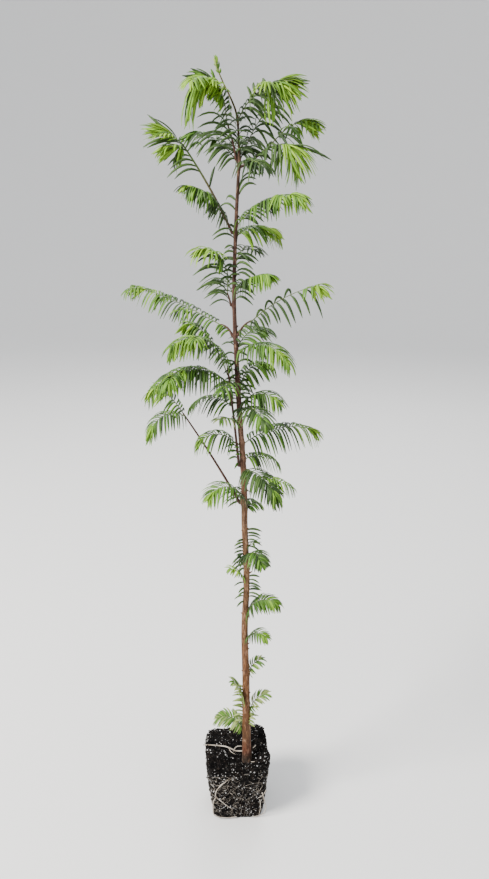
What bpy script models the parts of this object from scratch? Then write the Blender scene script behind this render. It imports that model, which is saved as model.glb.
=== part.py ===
# A young dawn redwood on its own root plug: one trunk, slender boughs and flat sprays of needles.
# Metres, +Z up. The origin is the middle of the plug's flat underside, and the front is towards -Y.

import math
import random

import bmesh
import bpy
import numpy as np
from mathutils import Vector

GAP = 0.0003             # clearance that touching pieces keep

# Root plug: a tapered square block with rounded corners, as it comes out of a nursery cell
PLUG_HEIGHT = 0.062
PLUG_TOP_HALF = 0.0310
PLUG_FOOT_HALF = 0.0245
PLUG_CORNER = 5.0        # power of the rounded square: 2 is a circle, more is squarer
PLUG_TURN = 4.0          # degrees about Z
PLUG_SIDES = 36
PLUG_LEVELS = 8
PLUG_SEED = 11
SOIL_HEIGHT = 0.0540     # where the trunk stands, a little below the rim
SOIL_RINGS = 5
SOIL_ROUGH = 0.0012      # how far the crumbly top rises and falls
SEAT_RADIUS = 0.0075     # flat patch under the trunk

# Roots that show on the plug: places as (x, y or height), then the thickness at both ends
ROOTS_ON_SOIL = (
    (((0.003, -0.004), (-0.004, 0.003), (-0.013, 0.011), (-0.022, 0.013), (-0.030, 0.012)), 0.0028, 0.0018),
    (((-0.008, 0.007), (-0.012, 0.016), (-0.013, 0.024)), 0.0018, 0.0012),
)
ROOTS_ON_FRONT = (
    (((-0.008, 0.052), (-0.016, 0.045), (-0.021, 0.036), (-0.022, 0.026), (-0.018, 0.018), (-0.009, 0.011),
      (0.002, 0.008)), 0.0016, 0.0010),
    (((0.017, 0.043), (0.021, 0.034), (0.0215, 0.024), (0.0205, 0.014), (0.016, 0.007), (0.008, 0.004)),
     0.0014, 0.0009),
    (((0.012, 0.030), (0.013, 0.022), (0.010, 0.015), (0.011, 0.007)), 0.0012, 0.0008),
    (((-0.021, 0.022), (-0.0215, 0.014), (-0.018, 0.006), (-0.011, 0.003), (-0.003, 0.0026)), 0.0013, 0.0009),
)
ROOT_SIDES = 5
ROOT_STEPS = 3           # steps between two places

# Trunk: height and sideways lean of its centre line, and its diameter at some heights
TRUNK_Y = -0.008
TRUNK_LINE = (
    (0.0543, 0.0098), (0.100, 0.0092), (0.150, 0.0088), (0.200, 0.0076), (0.250, 0.0094), (0.300, 0.0077),
    (0.350, 0.0068), (0.400, 0.0036), (0.450, 0.0010), (0.500, -0.0007), (0.550, 0.0008), (0.600, 0.0034),
    (0.620, 0.0029), (0.631, 0.0014), (0.640, -0.0022), (0.650, -0.0075), (0.657, -0.0108),
)
TRUNK_DIAMETER = (
    (0.0543, 0.0094), (0.075, 0.0080), (0.125, 0.0070), (0.210, 0.0061), (0.330, 0.0053), (0.390, 0.0046),
    (0.457, 0.0037), (0.500, 0.0032), (0.570, 0.0028), (0.612, 0.0019), (0.639, 0.0013), (0.657, 0.0009),
)
TRUNK_SIDES = 12
TRUNK_RINGS = 38
CROWDING = 0.45          # how much closer the rings lie towards the tip
FLARE_RINGS = 3
FLARE_HEIGHT = 0.010     # the root flare fades out over this height
FLARE_SPREAD = 0.16      # how far its lobes stand out, as a share of the radius
FLARE_LOBES = 5

# Boughs: height on the trunk, azimuth, length, elevation at the foot and at the tip, both diameters.
# Azimuths and elevations are in degrees: 0 is to the right, 90 to the back, 180 to the left.
BOUGHS = {
    "bough_upper_left": (0.599, 195, 0.026, 82, 68, 0.0016, 0.0012),
    "bough_left_crown": (0.547, 162, 0.075, 64, 53, 0.0021, 0.0013),
    "bough_right_crown": (0.594, -20, 0.025, 24, 38, 0.0016, 0.0012),
    "bough_left_middle": (0.492, 190, 0.010, 84, 66, 0.0015, 0.0012),
    "bough_right_long": (0.469, -32, 0.018, 70, 18, 0.0018, 0.0013),
    "bough_left_long": (0.468, 150, 0.014, 72, 2, 0.0019, 0.0014),
    "bough_left_upright": (0.359, 212, 0.085, 84, 82, 0.0024, 0.0014),
    "bough_left_slanting": (0.324, 165, 0.091, 60, 54, 0.0024, 0.0013),
}
BOUGH_SIDES = 5
BOUGH_RINGS = 8

# Masses of foliage. Each row: the trunk or bough that carries the stem, where on it (a height, or a
# share of the bough, 1 being its tip), azimuth, length, elevation at the foot and at the tip, length
# of the needles, pairs of them, their droop, tint.
MASSES = {
    "foliage_upper_left": ("bough_upper_left", 1, 196, 0.052, 86, -104, 0.020, 10, 0.6, "light"),
    "foliage_upper_right": ("trunk", 0.627, -28, 0.050, 62, -8, 0.021, 9, 0.6, "light"),
    "foliage_right_fork": ("trunk", 0.600, 35, 0.055, 64, 44, 0.018, 9, 0.6, "dark"),
    "foliage_right_top": ("bough_right_crown", 1, 20, 0.041, 46, -8, 0.020, 8, 0.6, "light"),
    "foliage_right_hanging": ("bough_right_crown", 0.9, -38, 0.033, 24, -36, 0.027, 8, 1.4, "light"),
    "foliage_front_top": ("trunk", 0.595, -62, 0.036, 18, -29, 0.019, 7, 0.8, "dark"),
    "foliage_left_dark": ("trunk", 0.597, 148, 0.045, 55, 10, 0.021, 8, 0.8, "dark"),
    "foliage_back_top": ("trunk", 0.602, 80, 0.040, 45, 0, 0.019, 7, 0.6, "dark"),
    "foliage_left_tuft": ("bough_left_crown", 1, 155, 0.026, 40, 22, 0.019, 7, 0.2, "light"),
    "foliage_left_low_tuft": ("bough_left_crown", 0.98, 205, 0.022, 4, -40, 0.018, 6, 0.2, "light"),
    "foliage_left_inner": ("bough_left_crown", 0.14, 198, 0.041, 70, 4, 0.019, 9, 1.1, "mid"),
    "foliage_right_upper": ("trunk", 0.553, -36, 0.061, 49, -12, 0.021, 12, 0.9, "mid"),
    "foliage_right_bright": ("trunk", 0.545, 32, 0.038, 38, -34, 0.019, 8, 0.7, "light"),
    "foliage_right_inner": ("trunk", 0.525, 60, 0.035, 60, -30, 0.020, 6, 0.5, "dark"),
    "foliage_left_middle": ("bough_left_middle", 1, 190, 0.056, 92, -2, 0.022, 11, 0.7, "light"),
    "foliage_right_middle": ("trunk", 0.503, -38, 0.035, 49, -2, 0.018, 7, 0.6, "mid"),
    "foliage_back_middle": ("trunk", 0.500, 112, 0.042, 45, -20, 0.020, 7, 0.6, "dark"),
    "foliage_right_long": ("bough_right_long", 1, -32, 0.068, 41, 12, 0.022, 12, 0.8, "mid"),
    "foliage_left_long": ("bough_left_long", 1, 150, 0.091, 22, 8, 0.019, 14, 0.8, "mid"),
    "foliage_left_second": ("bough_left_upright", 0.93, 165, 0.054, 70, 14, 0.017, 5, 1.2, "light"),
    "foliage_right_lower": ("trunk", 0.454, -35, 0.052, 45, -50, 0.020, 10, 0.8, "light"),
    "foliage_right_back": ("trunk", 0.459, 50, 0.044, 36, -28, 0.020, 8, 0.5, "mid"),
    "foliage_front_middle": ("trunk", 0.428, -112, 0.030, 32, -25, 0.017, 6, 0.7, "mid"),
    "foliage_left_dome": ("bough_left_upright", 1, 208, 0.063, 82, -38, 0.020, 11, 0.8, "light"),
    "foliage_left_wide": ("bough_left_upright", 0.84, 206, 0.074, 50, -50, 0.022, 13, 0.9, "mid"),
    "foliage_left_arch": ("bough_left_upright", 0.62, 150, 0.044, 35, -50, 0.019, 9, 0.8, "mid"),
    "foliage_left_small": ("bough_left_upright", 0.48, 240, 0.020, 31, 0, 0.014, 4, 0.6, "light"),
    "foliage_left_low": ("bough_left_upright", 0.24, 180, 0.034, 54, -50, 0.019, 8, 0.9, "mid"),
    "foliage_left_end": ("bough_left_slanting", 1, 165, 0.028, 58, 33, 0.017, 6, 0.6, "light"),
    "foliage_left_curl": ("bough_left_slanting", 0.97, 215, 0.040, 38, -70, 0.018, 9, 0.9, "mid"),
    "foliage_right_slim": ("trunk", 0.426, 32, 0.040, 84, -34, 0.019, 8, 0.8, "mid"),
    "foliage_right_flat": ("trunk", 0.410, -24, 0.037, 66, -36, 0.020, 8, 0.7, "mid"),
    "foliage_right_front": ("trunk", 0.407, -62, 0.044, 34, -38, 0.018, 8, 0.8, "dark"),
    "foliage_back_low": ("trunk", 0.413, 105, 0.044, 48, -25, 0.020, 8, 0.7, "dark"),
    "foliage_right_wide": ("trunk", 0.378, 16, 0.065, 34, -22, 0.022, 13, 0.8, "mid"),
    "foliage_right_small": ("trunk", 0.367, 35, 0.034, -12, -38, 0.017, 7, 0.6, "mid"),
    "foliage_front_low": ("trunk", 0.355, -50, 0.040, 14, -48, 0.021, 9, 0.9, "light"),
    "foliage_left_base": ("trunk", 0.327, 208, 0.038, 86, -46, 0.019, 8, 0.7, "mid"),
    "foliage_back_base": ("trunk", 0.322, 108, 0.034, 40, -30, 0.018, 6, 0.7, "dark"),
    "foliage_right_base": ("trunk", 0.318, 38, 0.020, 56, -72, 0.013, 5, 0.7, "dark"),
    "foliage_stem_1": ("trunk", 0.284, -20, 0.012, 50, 10, 0.013, 3, 0.4, "dark"),
    "foliage_stem_2": ("trunk", 0.274, -58, 0.032, 88, -80, 0.016, 8, 0.8, "mid"),
    "foliage_stem_3": ("trunk", 0.251, 200, 0.018, 84, 15, 0.010, 5, 0.4, "light"),
    "foliage_stem_4": ("trunk", 0.214, -10, 0.038, 98, -38, 0.014, 9, 0.6, "mid"),
    "foliage_stem_5": ("trunk", 0.190, -28, 0.024, 88, -38, 0.012, 6, 0.5, "mid"),
    "foliage_stem_6": ("trunk", 0.152, 22, 0.019, 94, -3, 0.010, 5, 0.3, "mid"),
    "foliage_stem_7": ("trunk", 0.122, 190, 0.024, 94, 50, 0.012, 5, 0.3, "mid"),
    "foliage_stem_8": ("trunk", 0.108, 12, 0.027, 100, 6, 0.012, 6, 0.3, "mid"),
    "foliage_stem_9": ("trunk", 0.089, 170, 0.030, 82, -26, 0.013, 7, 0.3, "light"),
}
# The stems that bend late, and the power of their bend
LATE_BEND = {"foliage_upper_left": 2.2, "foliage_right_top": 2.0, "foliage_left_second": 2.0,
             "foliage_left_long": 2.0}
# The stem that stays bare over more than its foot, as a share of its length
BARE_STEM = {"foliage_left_second": 0.60}
# Side twigs that fork from a mass's stem: how many, over which share of it, their length, and the
# side of the first, 1 being the way that azimuths grow
SIDE_TWIGS = {
    "foliage_upper_left": (3, 0.38, 0.72, 0.016, 1),
    "foliage_upper_right": (2, 0.58, 0.82, 0.013, -1),
    "foliage_right_top": (2, 0.50, 0.74, 0.013, 1),
    "foliage_left_tuft": (1, 0.30, 0.30, 0.014, 1),
    "foliage_left_low_tuft": (1, 0.35, 0.35, 0.012, -1),
    "foliage_left_inner": (1, 0.50, 0.50, 0.014, 1),
    "foliage_right_upper": (1, 0.70, 0.70, 0.014, -1),
    "foliage_left_middle": (2, 0.30, 0.55, 0.015, 1),
    "foliage_right_long": (1, 0.85, 0.85, 0.012, 1),
    "foliage_left_long": (3, 0.30, 0.90, 0.014, 1),
    "foliage_left_wide": (2, 0.35, 0.65, 0.015, -1),
    "foliage_left_dome": (1, 0.60, 0.60, 0.014, 1),
    "foliage_right_wide": (1, 0.50, 0.50, 0.013, 1),
    "foliage_front_low": (1, 0.55, 0.55, 0.028, 1),
    "foliage_stem_2": (1, 0.25, 0.25, 0.013, 1),
}
LEADER = (205, 0.007, 0.009, 3)   # azimuth and length of the tuft at the top, needle length, pairs

# Twigs
TWIG_HALF = 0.00050      # half the width of a mass's stem where it starts
TWIG_TIP = 0.55          # its width near the tip, as a share of that
KEEL_DEPTH = 1.6         # depth of its three-sided section, as a share of that half width
TWIG_END = 0.002         # length of the bare point past the last needles
BARE_FOOT = 0.08         # share of the stem before the first needles
SIDE_NEEDLE = 0.62       # needles on a side twig, as a share of the stem's
SIDE_SPACING = 0.0048    # metres between pairs on a side twig

# Needles
NEEDLE_HALF = 0.00085    # half the widest part of a needle
NEEDLE_THICK = 0.00050
NEEDLE_BASE = 0.00055    # half the width of a needle's root along the stem
NEEDLE_RISE = 0.30       # how far a needle arches up before it droops
NEEDLE_MIDDLE = 0.50     # where along the needle its widest part is
FIRST_ANGLE = 68.0       # degrees between needle and stem at the spray's foot
LAST_ANGLE = 34.0        # the same at its tip
TIP_LOSS = {"dark": 0.38, "mid": 0.30, "light": 0.06}   # how much shorter the last needles are
TIP_HANG = {"dark": 0.0, "mid": 0.2, "light": 0.4}      # how much more the last needles droop
CLEARANCE = 0.0004       # needles nearer than this to another piece are skipped

COLOURS = {
    "trunk": (0.30, 0.13, 0.065),
    "bough": (0.20, 0.085, 0.045),
    "soil": (0.020, 0.016, 0.013),
    "dark": (0.055, 0.130, 0.030),
    "mid": (0.110, 0.240, 0.045),
    "light": (0.230, 0.400, 0.070),
}
ROUGHNESS = {"trunk": 0.75, "bough": 0.65, "soil": 0.95, "dark": 0.5, "mid": 0.5, "light": 0.5}


def clear_scene():
    for old in list(bpy.data.objects):
        bpy.data.objects.remove(old, do_unlink=True)


def add_object(name, mesh, kind, smooth_angle=None):
    # one named object with its own material
    paint = bpy.data.materials.new(name)
    paint.use_nodes = True
    shader = paint.node_tree.nodes["Principled BSDF"]
    shader.inputs["Base Color"].default_value = (*COLOURS[kind], 1.0)
    shader.inputs["Roughness"].default_value = ROUGHNESS[kind]
    shader.inputs["Metallic"].default_value = 0.0
    mesh.materials.clear()
    mesh.materials.append(paint)
    if smooth_angle is not None:
        mesh.shade_smooth()
        mesh.set_sharp_from_angle(angle=math.radians(smooth_angle))
    piece = bpy.data.objects.new(name, mesh)
    bpy.context.scene.collection.objects.link(piece)
    return piece


def closed_mesh(name, points, faces):
    mesh = bpy.data.meshes.new(name)
    mesh.from_pydata([tuple(p) for p in points], [], faces)
    work = bmesh.new()
    work.from_mesh(mesh)
    bmesh.ops.recalc_face_normals(work, faces=work.faces[:])
    work.to_mesh(mesh)
    work.free()
    return mesh


def heading(azimuth, elevation):
    a = math.radians(azimuth)
    e = math.radians(elevation)
    return Vector((math.cos(a) * math.cos(e), math.sin(a) * math.cos(e), math.sin(e)))


def smooth_between(rows, at):
    # a cubic through the rows' points, read at one height
    keys = [row[0] for row in rows]
    values = [row[1] for row in rows]
    if at <= keys[0]:
        return values[0]
    if at >= keys[-1]:
        return values[-1]
    i = max(k for k in range(len(keys) - 1) if keys[k] <= at)
    span = keys[i + 1] - keys[i]
    t = (at - keys[i]) / span
    before = max(i - 1, 0)
    after = min(i + 2, len(keys) - 1)
    slope_a = (values[i + 1] - values[before]) / (keys[i + 1] - keys[before]) * span
    slope_b = (values[after] - values[i]) / (keys[after] - keys[i]) * span
    low = (2 * t**3 - 3 * t**2 + 1) * values[i] + (t**3 - 2 * t**2 + t) * slope_a
    high = (3 * t**2 - 2 * t**3) * values[i + 1] + (t**3 - t**2) * slope_b
    return low + high


def trunk_centre(height):
    return Vector((smooth_between(TRUNK_LINE, height), TRUNK_Y, height))


def trunk_radius(height):
    return smooth_between(TRUNK_DIAMETER, height) / 2


class Limb:
    # a curve in an upright plane that bends from one elevation to another, late where bend is over 1
    def __init__(self, start, azimuth, length, rise, fall, bend=1.0, steps=24):
        self.azimuth = azimuth
        self.rise = rise
        self.fall = fall
        self.bend = bend
        self.points = [Vector(start)]
        for k in range(steps):
            middle = (k + 0.5) / steps
            self.points.append(self.points[-1] + self.direction(middle) * (length / steps))

    def elevation(self, share):
        return self.rise + (self.fall - self.rise) * share**self.bend

    def direction(self, share):
        return heading(self.azimuth, self.elevation(share))

    def side(self):
        return heading(self.azimuth + 90, 0)

    def at(self, share):
        place = min(max(share, 0.0), 1.0) * (len(self.points) - 1)
        k = min(int(place), len(self.points) - 2)
        return self.points[k].lerp(self.points[k + 1], place - k)


def start_on_trunk(height, azimuth, rise, half):
    # a point just clear of the bark, for a stem of this half width
    reach = trunk_radius(height) + GAP + half * (0.2 + abs(math.sin(math.radians(rise))))
    return trunk_centre(height) + heading(azimuth, 0) * reach


def start_on_bough(limb, radius, share, azimuth, rise):
    # just past the bough's tip, or just clear of its flank
    along = limb.direction(share)
    if share == 1:
        return limb.at(1) + along * (GAP + 0.0001)
    out = heading(azimuth, rise)
    out = (out - along * out.dot(along)).normalized()
    return limb.at(share) + out * (radius + GAP + 0.2 * TWIG_HALF)


def tube(name, centres, radii, sides, lobes=None):
    # a closed round limb along the centres; lobes gives a ring's radius by angle
    points = []
    faces = []
    reference = Vector((0.31, 0.95, 0.05)).normalized()
    last = len(centres) - 1
    for k, centre in enumerate(centres):
        ahead = (centres[min(k + 1, last)] - centres[max(k - 1, 0)]).normalized()
        across = (reference - ahead * reference.dot(ahead)).normalized()
        other = ahead.cross(across)
        for s in range(sides):
            turn = 2 * math.pi * s / sides
            radius = radii[k] * (lobes(k, turn) if lobes else 1.0)
            points.append(centre + (across * math.cos(turn) + other * math.sin(turn)) * radius)
    for k in range(last):
        faces.extend(ring_faces(k * sides, (k + 1) * sides, sides))
    faces.append(tuple(range(sides)))
    faces.append(tuple(last * sides + s for s in range(sides)))
    return closed_mesh(name, points, faces)


def ring_faces(low, high, sides):
    # the quads between two rings of points
    return [(low + s, low + (s + 1) % sides, high + (s + 1) % sides, high + s) for s in range(sides)]


class Neighbours:
    # every limb and needle placed so far, as straight pieces with a radius, to keep new ones clear of
    def __init__(self):
        self.rows = []

    def add_path(self, owner, points, radius):
        for start, end in zip(points[:-1], points[1:]):
            self.rows.append((owner, tuple(start), tuple(end), radius))

    def freeze(self, owner):
        others = [row for row in self.rows if row[0] != owner]
        self.start = np.array([row[1] for row in others])
        self.run = np.array([row[2] for row in others]) - self.start
        self.radius = np.array([row[3] for row in others])

    def touches(self, start, end, radius):
        # least distance between one straight piece and all the others at once
        first = np.array(start)
        run = np.array(end) - first
        between = first - self.start
        a = run @ run
        b = self.run @ run
        c = between @ run
        e = np.einsum("ij,ij->i", self.run, self.run)
        f = np.einsum("ij,ij->i", self.run, between)
        spread = np.maximum(a * e - b * b, 1e-18)
        s = np.clip((b * f - c * e) / spread, 0.0, 1.0)
        t = np.clip((b * s + f) / e, 0.0, 1.0)
        s = np.clip((b * t - c) / a, 0.0, 1.0)
        apart = between + np.outer(s, run) - self.run * t[:, None]
        return bool((np.linalg.norm(apart, axis=1) < self.radius + radius + CLEARANCE).any())


class Needle:
    # root, widest part and tip of one needle that leaves the stem, arches and droops
    def __init__(self, limb, share, side, length, angle, droop):
        along = limb.direction(share)
        across = limb.side()
        upward = along.cross(across)
        a = math.radians(angle)
        out = along * math.cos(a) + across * (side * math.sin(a))
        reach = out - Vector((0, 0, droop))
        scale = length / reach.length
        t = NEEDLE_MIDDLE
        arch = upward * (NEEDLE_RISE * t * (1 - t)) - Vector((0, 0, droop * t * t))
        self.root = limb.at(share)
        self.middle = self.root + (out * t + arch) * scale
        self.tip = self.root + reach * scale
        run = reach.normalized()
        self.wide = upward.cross(run).normalized()
        if self.wide.dot(along) < 0:
            self.wide = -self.wide
        self.under = run.cross(self.wide)
        if self.under.dot(upward) > 0:
            self.under = -self.under


class Spray:
    # one stem with opposite pairs of needles
    def __init__(self, limb, needle, pairs, droop, tint, bare, girth, seed):
        self.limb = limb
        self.girth = girth
        self.stations = []
        dice = random.Random(seed)
        for k in range(pairs):
            place = k / (pairs - 1)
            share = bare + (0.97 - bare) * place
            swell = 0.72 + 0.28 * math.sin(math.pi * min(1.0, 0.15 + 0.85 * place))
            swell *= 1.0 - TIP_LOSS[tint] * max(0.0, place - 0.6) / 0.4
            angle = FIRST_ANGLE + (LAST_ANGLE - FIRST_ANGLE) * place**1.5
            pair = []
            for side in (1, -1):
                size = needle * swell * dice.uniform(0.90, 1.08)
                turn = angle + dice.uniform(-6, 6)
                hang = droop * dice.uniform(0.75, 1.25) * (1.0 + TIP_HANG[tint] * place)
                pair.append(Needle(limb, share, side, size, turn, hang))
            self.stations.append((share, pair))

    def stem_half(self, share):
        return TWIG_HALF * self.girth * (1 - (1 - TWIG_TIP) * share)

    def mesh(self, name, keep):
        # a three-sided stem whose flanks grow out into the needles, as one closed skin
        points = []
        faces = []

        def point(place):
            points.append(place)
            return len(points) - 1

        def rib(share, shift):
            across = self.limb.side() * self.stem_half(share)
            centre = self.limb.at(share) + self.limb.direction(share) * shift
            return point(centre + across), point(centre - across)

        def keel(share):
            down = self.limb.side().cross(self.limb.direction(share))
            return point(self.limb.at(share) + down * (KEEL_DEPTH * self.stem_half(share)))

        def grow_needle(needle, near, far, below):
            back = point(needle.middle - needle.wide * NEEDLE_HALF)
            front = point(needle.middle + needle.wide * NEEDLE_HALF)
            bottom = point(needle.middle + needle.under * NEEDLE_THICK)
            tip = point(needle.tip)
            faces.extend(((near, far, front, back), (far, below, bottom, front), (below, near, back, bottom)))
            faces.extend(((back, front, tip), (front, bottom, tip), (bottom, back, tip)))

        left, right = rib(0.0, 0.0)
        under = keel(0.0)
        faces.append((left, right, under))
        for share, pair in self.stations:
            near = rib(share, -NEEDLE_BASE)
            far = rib(share, NEEDLE_BASE)
            below = keel(share)
            faces.extend(((left, near[0], near[1], right), (near[0], far[0], far[1], near[1])))
            faces.extend(((left, under, below, near[0]), (right, near[1], below, under)))
            for k, needle in enumerate(pair):
                if keep(needle):
                    grow_needle(needle, near[k], far[k], below)
                else:
                    faces.append((near[k], far[k], below))
            left, right = far
            under = below
        end = point(self.limb.at(1.0) + self.limb.direction(1.0) * TWIG_END)
        faces.extend(((left, end, right), (left, under, end), (right, end, under)))
        return closed_mesh(name, points, faces)


def side_sprays(limb, twigs, needle, droop, tint, seed):
    # small sprays that fork off a stem by a seeded rule, on alternate sides
    dice = random.Random(seed * 7 + 3)
    made = []
    count, first, last, size, turn = twigs
    for k in range(count):
        share = first + (last - first) * k / max(count - 1, 1) + dice.uniform(-0.02, 0.02)
        side = turn if k % 2 == 0 else -turn
        azimuth = limb.azimuth + side * dice.uniform(42, 62)
        rise = 0.5 * limb.elevation(share) + dice.uniform(0, 14)
        length = size * dice.uniform(0.85, 1.15)
        start = limb.at(share) - heading(azimuth, rise) * 0.0002
        twig = Limb(start, azimuth, length, rise, rise - 35, steps=12)
        pairs = max(2, round(length / SIDE_SPACING))
        made.append(Spray(twig, needle * SIDE_NEEDLE, pairs, droop, tint, 0.22, 0.8, seed + 31 * (k + 1)))
    return made


def leader_spray():
    # the tuft that ends the trunk
    azimuth, length, needle, pairs = LEADER
    top = trunk_centre(TRUNK_LINE[-1][0])
    along = (top - trunk_centre(TRUNK_LINE[-1][0] - 0.004)).normalized()
    rise = math.degrees(math.asin(along.z))
    limb = Limb(top + along * (GAP + 0.0001), azimuth, length, rise, rise + 12, steps=8)
    return Spray(limb, needle, pairs, -0.1, "light", 0.15, 0.9, 90)


def fuse(name, meshes):
    # one Boolean union on a collection joins a piece that is made of several closed skins
    parts = [bpy.data.objects.new(f"{name}_{k}", mesh) for k, mesh in enumerate(meshes)]
    group = bpy.data.collections.new(name)
    bpy.context.scene.collection.children.link(group)
    bpy.context.scene.collection.objects.link(parts[0])
    for other in parts[1:]:
        group.objects.link(other)
    join = parts[0].modifiers.new("fuse", "BOOLEAN")
    join.operation = "UNION"
    join.operand_type = "COLLECTION"
    join.collection = group
    join.solver = "MANIFOLD"
    bpy.context.view_layer.update()
    evaluated = parts[0].evaluated_get(bpy.context.evaluated_depsgraph_get())
    joined = bpy.data.meshes.new_from_object(evaluated)
    for part in parts:
        bpy.data.objects.remove(part, do_unlink=True)
    bpy.data.collections.remove(group)
    drop_scraps(joined)
    return joined


def drop_scraps(mesh):
    # keeps the largest skin of a fused piece, so loose scraps go and sealed hollows fill up
    work = bmesh.new()
    work.from_mesh(mesh)
    unseen = set(work.faces)
    skins = []
    while unseen:
        skin = [unseen.pop()]
        for face in skin:
            linked = {other for edge in face.edges for other in edge.link_faces} & unseen
            unseen -= linked
            skin.extend(linked)
        skins.append(skin)
    skins.sort(key=len)
    for skin in skins[:-1]:
        bmesh.ops.delete(work, geom=skin, context="FACES")
    work.to_mesh(mesh)
    work.free()


def make_trunk(neighbours):
    low = TRUNK_LINE[0][0]
    high = TRUNK_LINE[-1][0]
    foot = low + FLARE_HEIGHT
    heights = [low + FLARE_HEIGHT * k / FLARE_RINGS for k in range(FLARE_RINGS)]
    for k in range(TRUNK_RINGS + 1):
        share = k / TRUNK_RINGS
        heights.append(foot + (high - foot) * ((1 + CROWDING) * share - CROWDING * share**2))

    def lobes(k, turn):
        fade = max(0.0, 1.0 - (heights[k] - low) / FLARE_HEIGHT)
        return 1.0 + FLARE_SPREAD * fade**2 * (0.6 + 0.4 * math.cos(FLARE_LOBES * turn))

    centres = [trunk_centre(height) for height in heights]
    mesh = tube("trunk", centres, [trunk_radius(height) for height in heights], TRUNK_SIDES, lobes)
    for vertex in mesh.vertices[:TRUNK_SIDES]:
        vertex.co.z = low
    add_object("trunk", mesh, "trunk", smooth_angle=40)
    for below, above in zip(heights[:-1], heights[1:]):
        neighbours.add_path("trunk", (trunk_centre(below), trunk_centre(above)), trunk_radius(below))


def make_boughs(neighbours):
    limbs = {}
    for name, (height, azimuth, length, rise, fall, thick, thin) in BOUGHS.items():
        start = start_on_trunk(height, azimuth, rise, thick / 2)
        limb = Limb(start, azimuth, length, rise, fall)
        shares = [k / BOUGH_RINGS for k in range(BOUGH_RINGS + 1)]
        centres = [limb.at(share) for share in shares]
        radii = [(thick + (thin - thick) * share) / 2 for share in shares]
        add_object(name, tube(name, centres, radii, BOUGH_SIDES), "bough", smooth_angle=50)
        neighbours.add_path(name, centres, thick / 2)
        limbs[name] = limb
    return limbs


def lay_out_sprays(limbs):
    # every mass as its stem, its side twigs and their needles, before any is tested against the others
    sprays = {"foliage_leader": ([leader_spray()], "light")}
    for seed, (name, row) in enumerate(MASSES.items(), 1):
        carrier, place, azimuth, length, rise, fall, needle, pairs, droop, tint = row
        if carrier == "trunk":
            start = start_on_trunk(place, azimuth, rise, TWIG_HALF / 2)
        else:
            thick, thin = BOUGHS[carrier][5:]
            radius = (thick + (thin - thick) * place) / 2
            start = start_on_bough(limbs[carrier], radius, place, azimuth, rise)
        limb = Limb(start, azimuth, length, rise, fall, LATE_BEND.get(name, 1.0))
        group = [Spray(limb, needle, pairs, droop, tint, BARE_STEM.get(name, BARE_FOOT), 1.0, seed)]
        if name in SIDE_TWIGS:
            group += side_sprays(limb, SIDE_TWIGS[name], needle, droop, tint, seed)
        sprays[name] = (group, tint)
    return sprays


def make_masses(limbs, neighbours):
    sprays = lay_out_sprays(limbs)
    for name, (group, tint) in sprays.items():
        for spray in group:
            neighbours.add_path(name, spray.limb.points, spray.stem_half(0.0) * KEEL_DEPTH)
    for name, (group, tint) in sprays.items():
        neighbours.freeze(name)
        placed = []

        def keep(needle):
            # a needle that would touch another piece is skipped
            foot = needle.root.lerp(needle.middle, 0.15)
            if neighbours.touches(foot, needle.middle, NEEDLE_HALF):
                return False
            if neighbours.touches(needle.middle, needle.tip, NEEDLE_HALF):
                return False
            placed.append(needle)
            return True

        meshes = [spray.mesh(f"{name}_{k}", keep) for k, spray in enumerate(group)]
        add_object(name, fuse(name, meshes) if len(meshes) > 1 else meshes[0], tint)
        for needle in placed:
            neighbours.add_path(name, (needle.root, needle.middle, needle.tip), NEEDLE_HALF)


def plug_half(height):
    return PLUG_FOOT_HALF + (PLUG_TOP_HALF - PLUG_FOOT_HALF) * height / PLUG_HEIGHT


def plug_reach(height, turn, phase):
    # distance from the plug's axis to its skin, with the uneven face that the cell's ribs leave
    share = height / PLUG_HEIGHT
    corner = (abs(math.cos(turn))**PLUG_CORNER + abs(math.sin(turn))**PLUG_CORNER) ** (-1 / PLUG_CORNER)
    wave = 0.45 * math.sin(3 * turn + phase + 14 * share) + 0.35 * math.sin(7 * turn - 2 * phase + 23 * share)
    edge = {0.0: 0.985, 1.0: 0.97}.get(share, 1.0)
    return plug_half(height) * corner * (1 + 0.016 * wave) * edge


def make_plug():
    dice = random.Random(PLUG_SEED)
    phase = dice.uniform(0, 6)
    twist = math.radians(PLUG_TURN)
    points = []
    faces = []
    for k in range(PLUG_LEVELS + 1):
        height = PLUG_HEIGHT * k / PLUG_LEVELS
        for s in range(PLUG_SIDES):
            turn = 2 * math.pi * s / PLUG_SIDES
            reach = plug_reach(height, turn, phase)
            reach += dice.uniform(-0.0005, 0.0005) if 0 < k < PLUG_LEVELS else 0.0
            lift = dice.uniform(-0.0012, 0.0006) if k == PLUG_LEVELS else 0.0
            points.append(Vector((math.cos(turn + twist) * reach, math.sin(turn + twist) * reach, height + lift)))
        if k:
            faces.extend(ring_faces((k - 1) * PLUG_SIDES, k * PLUG_SIDES, PLUG_SIDES))
    faces.append(tuple(range(PLUG_SIDES)))
    add_soil_top(points, faces, dice)
    return closed_mesh("root_ball", points, faces)


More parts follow.
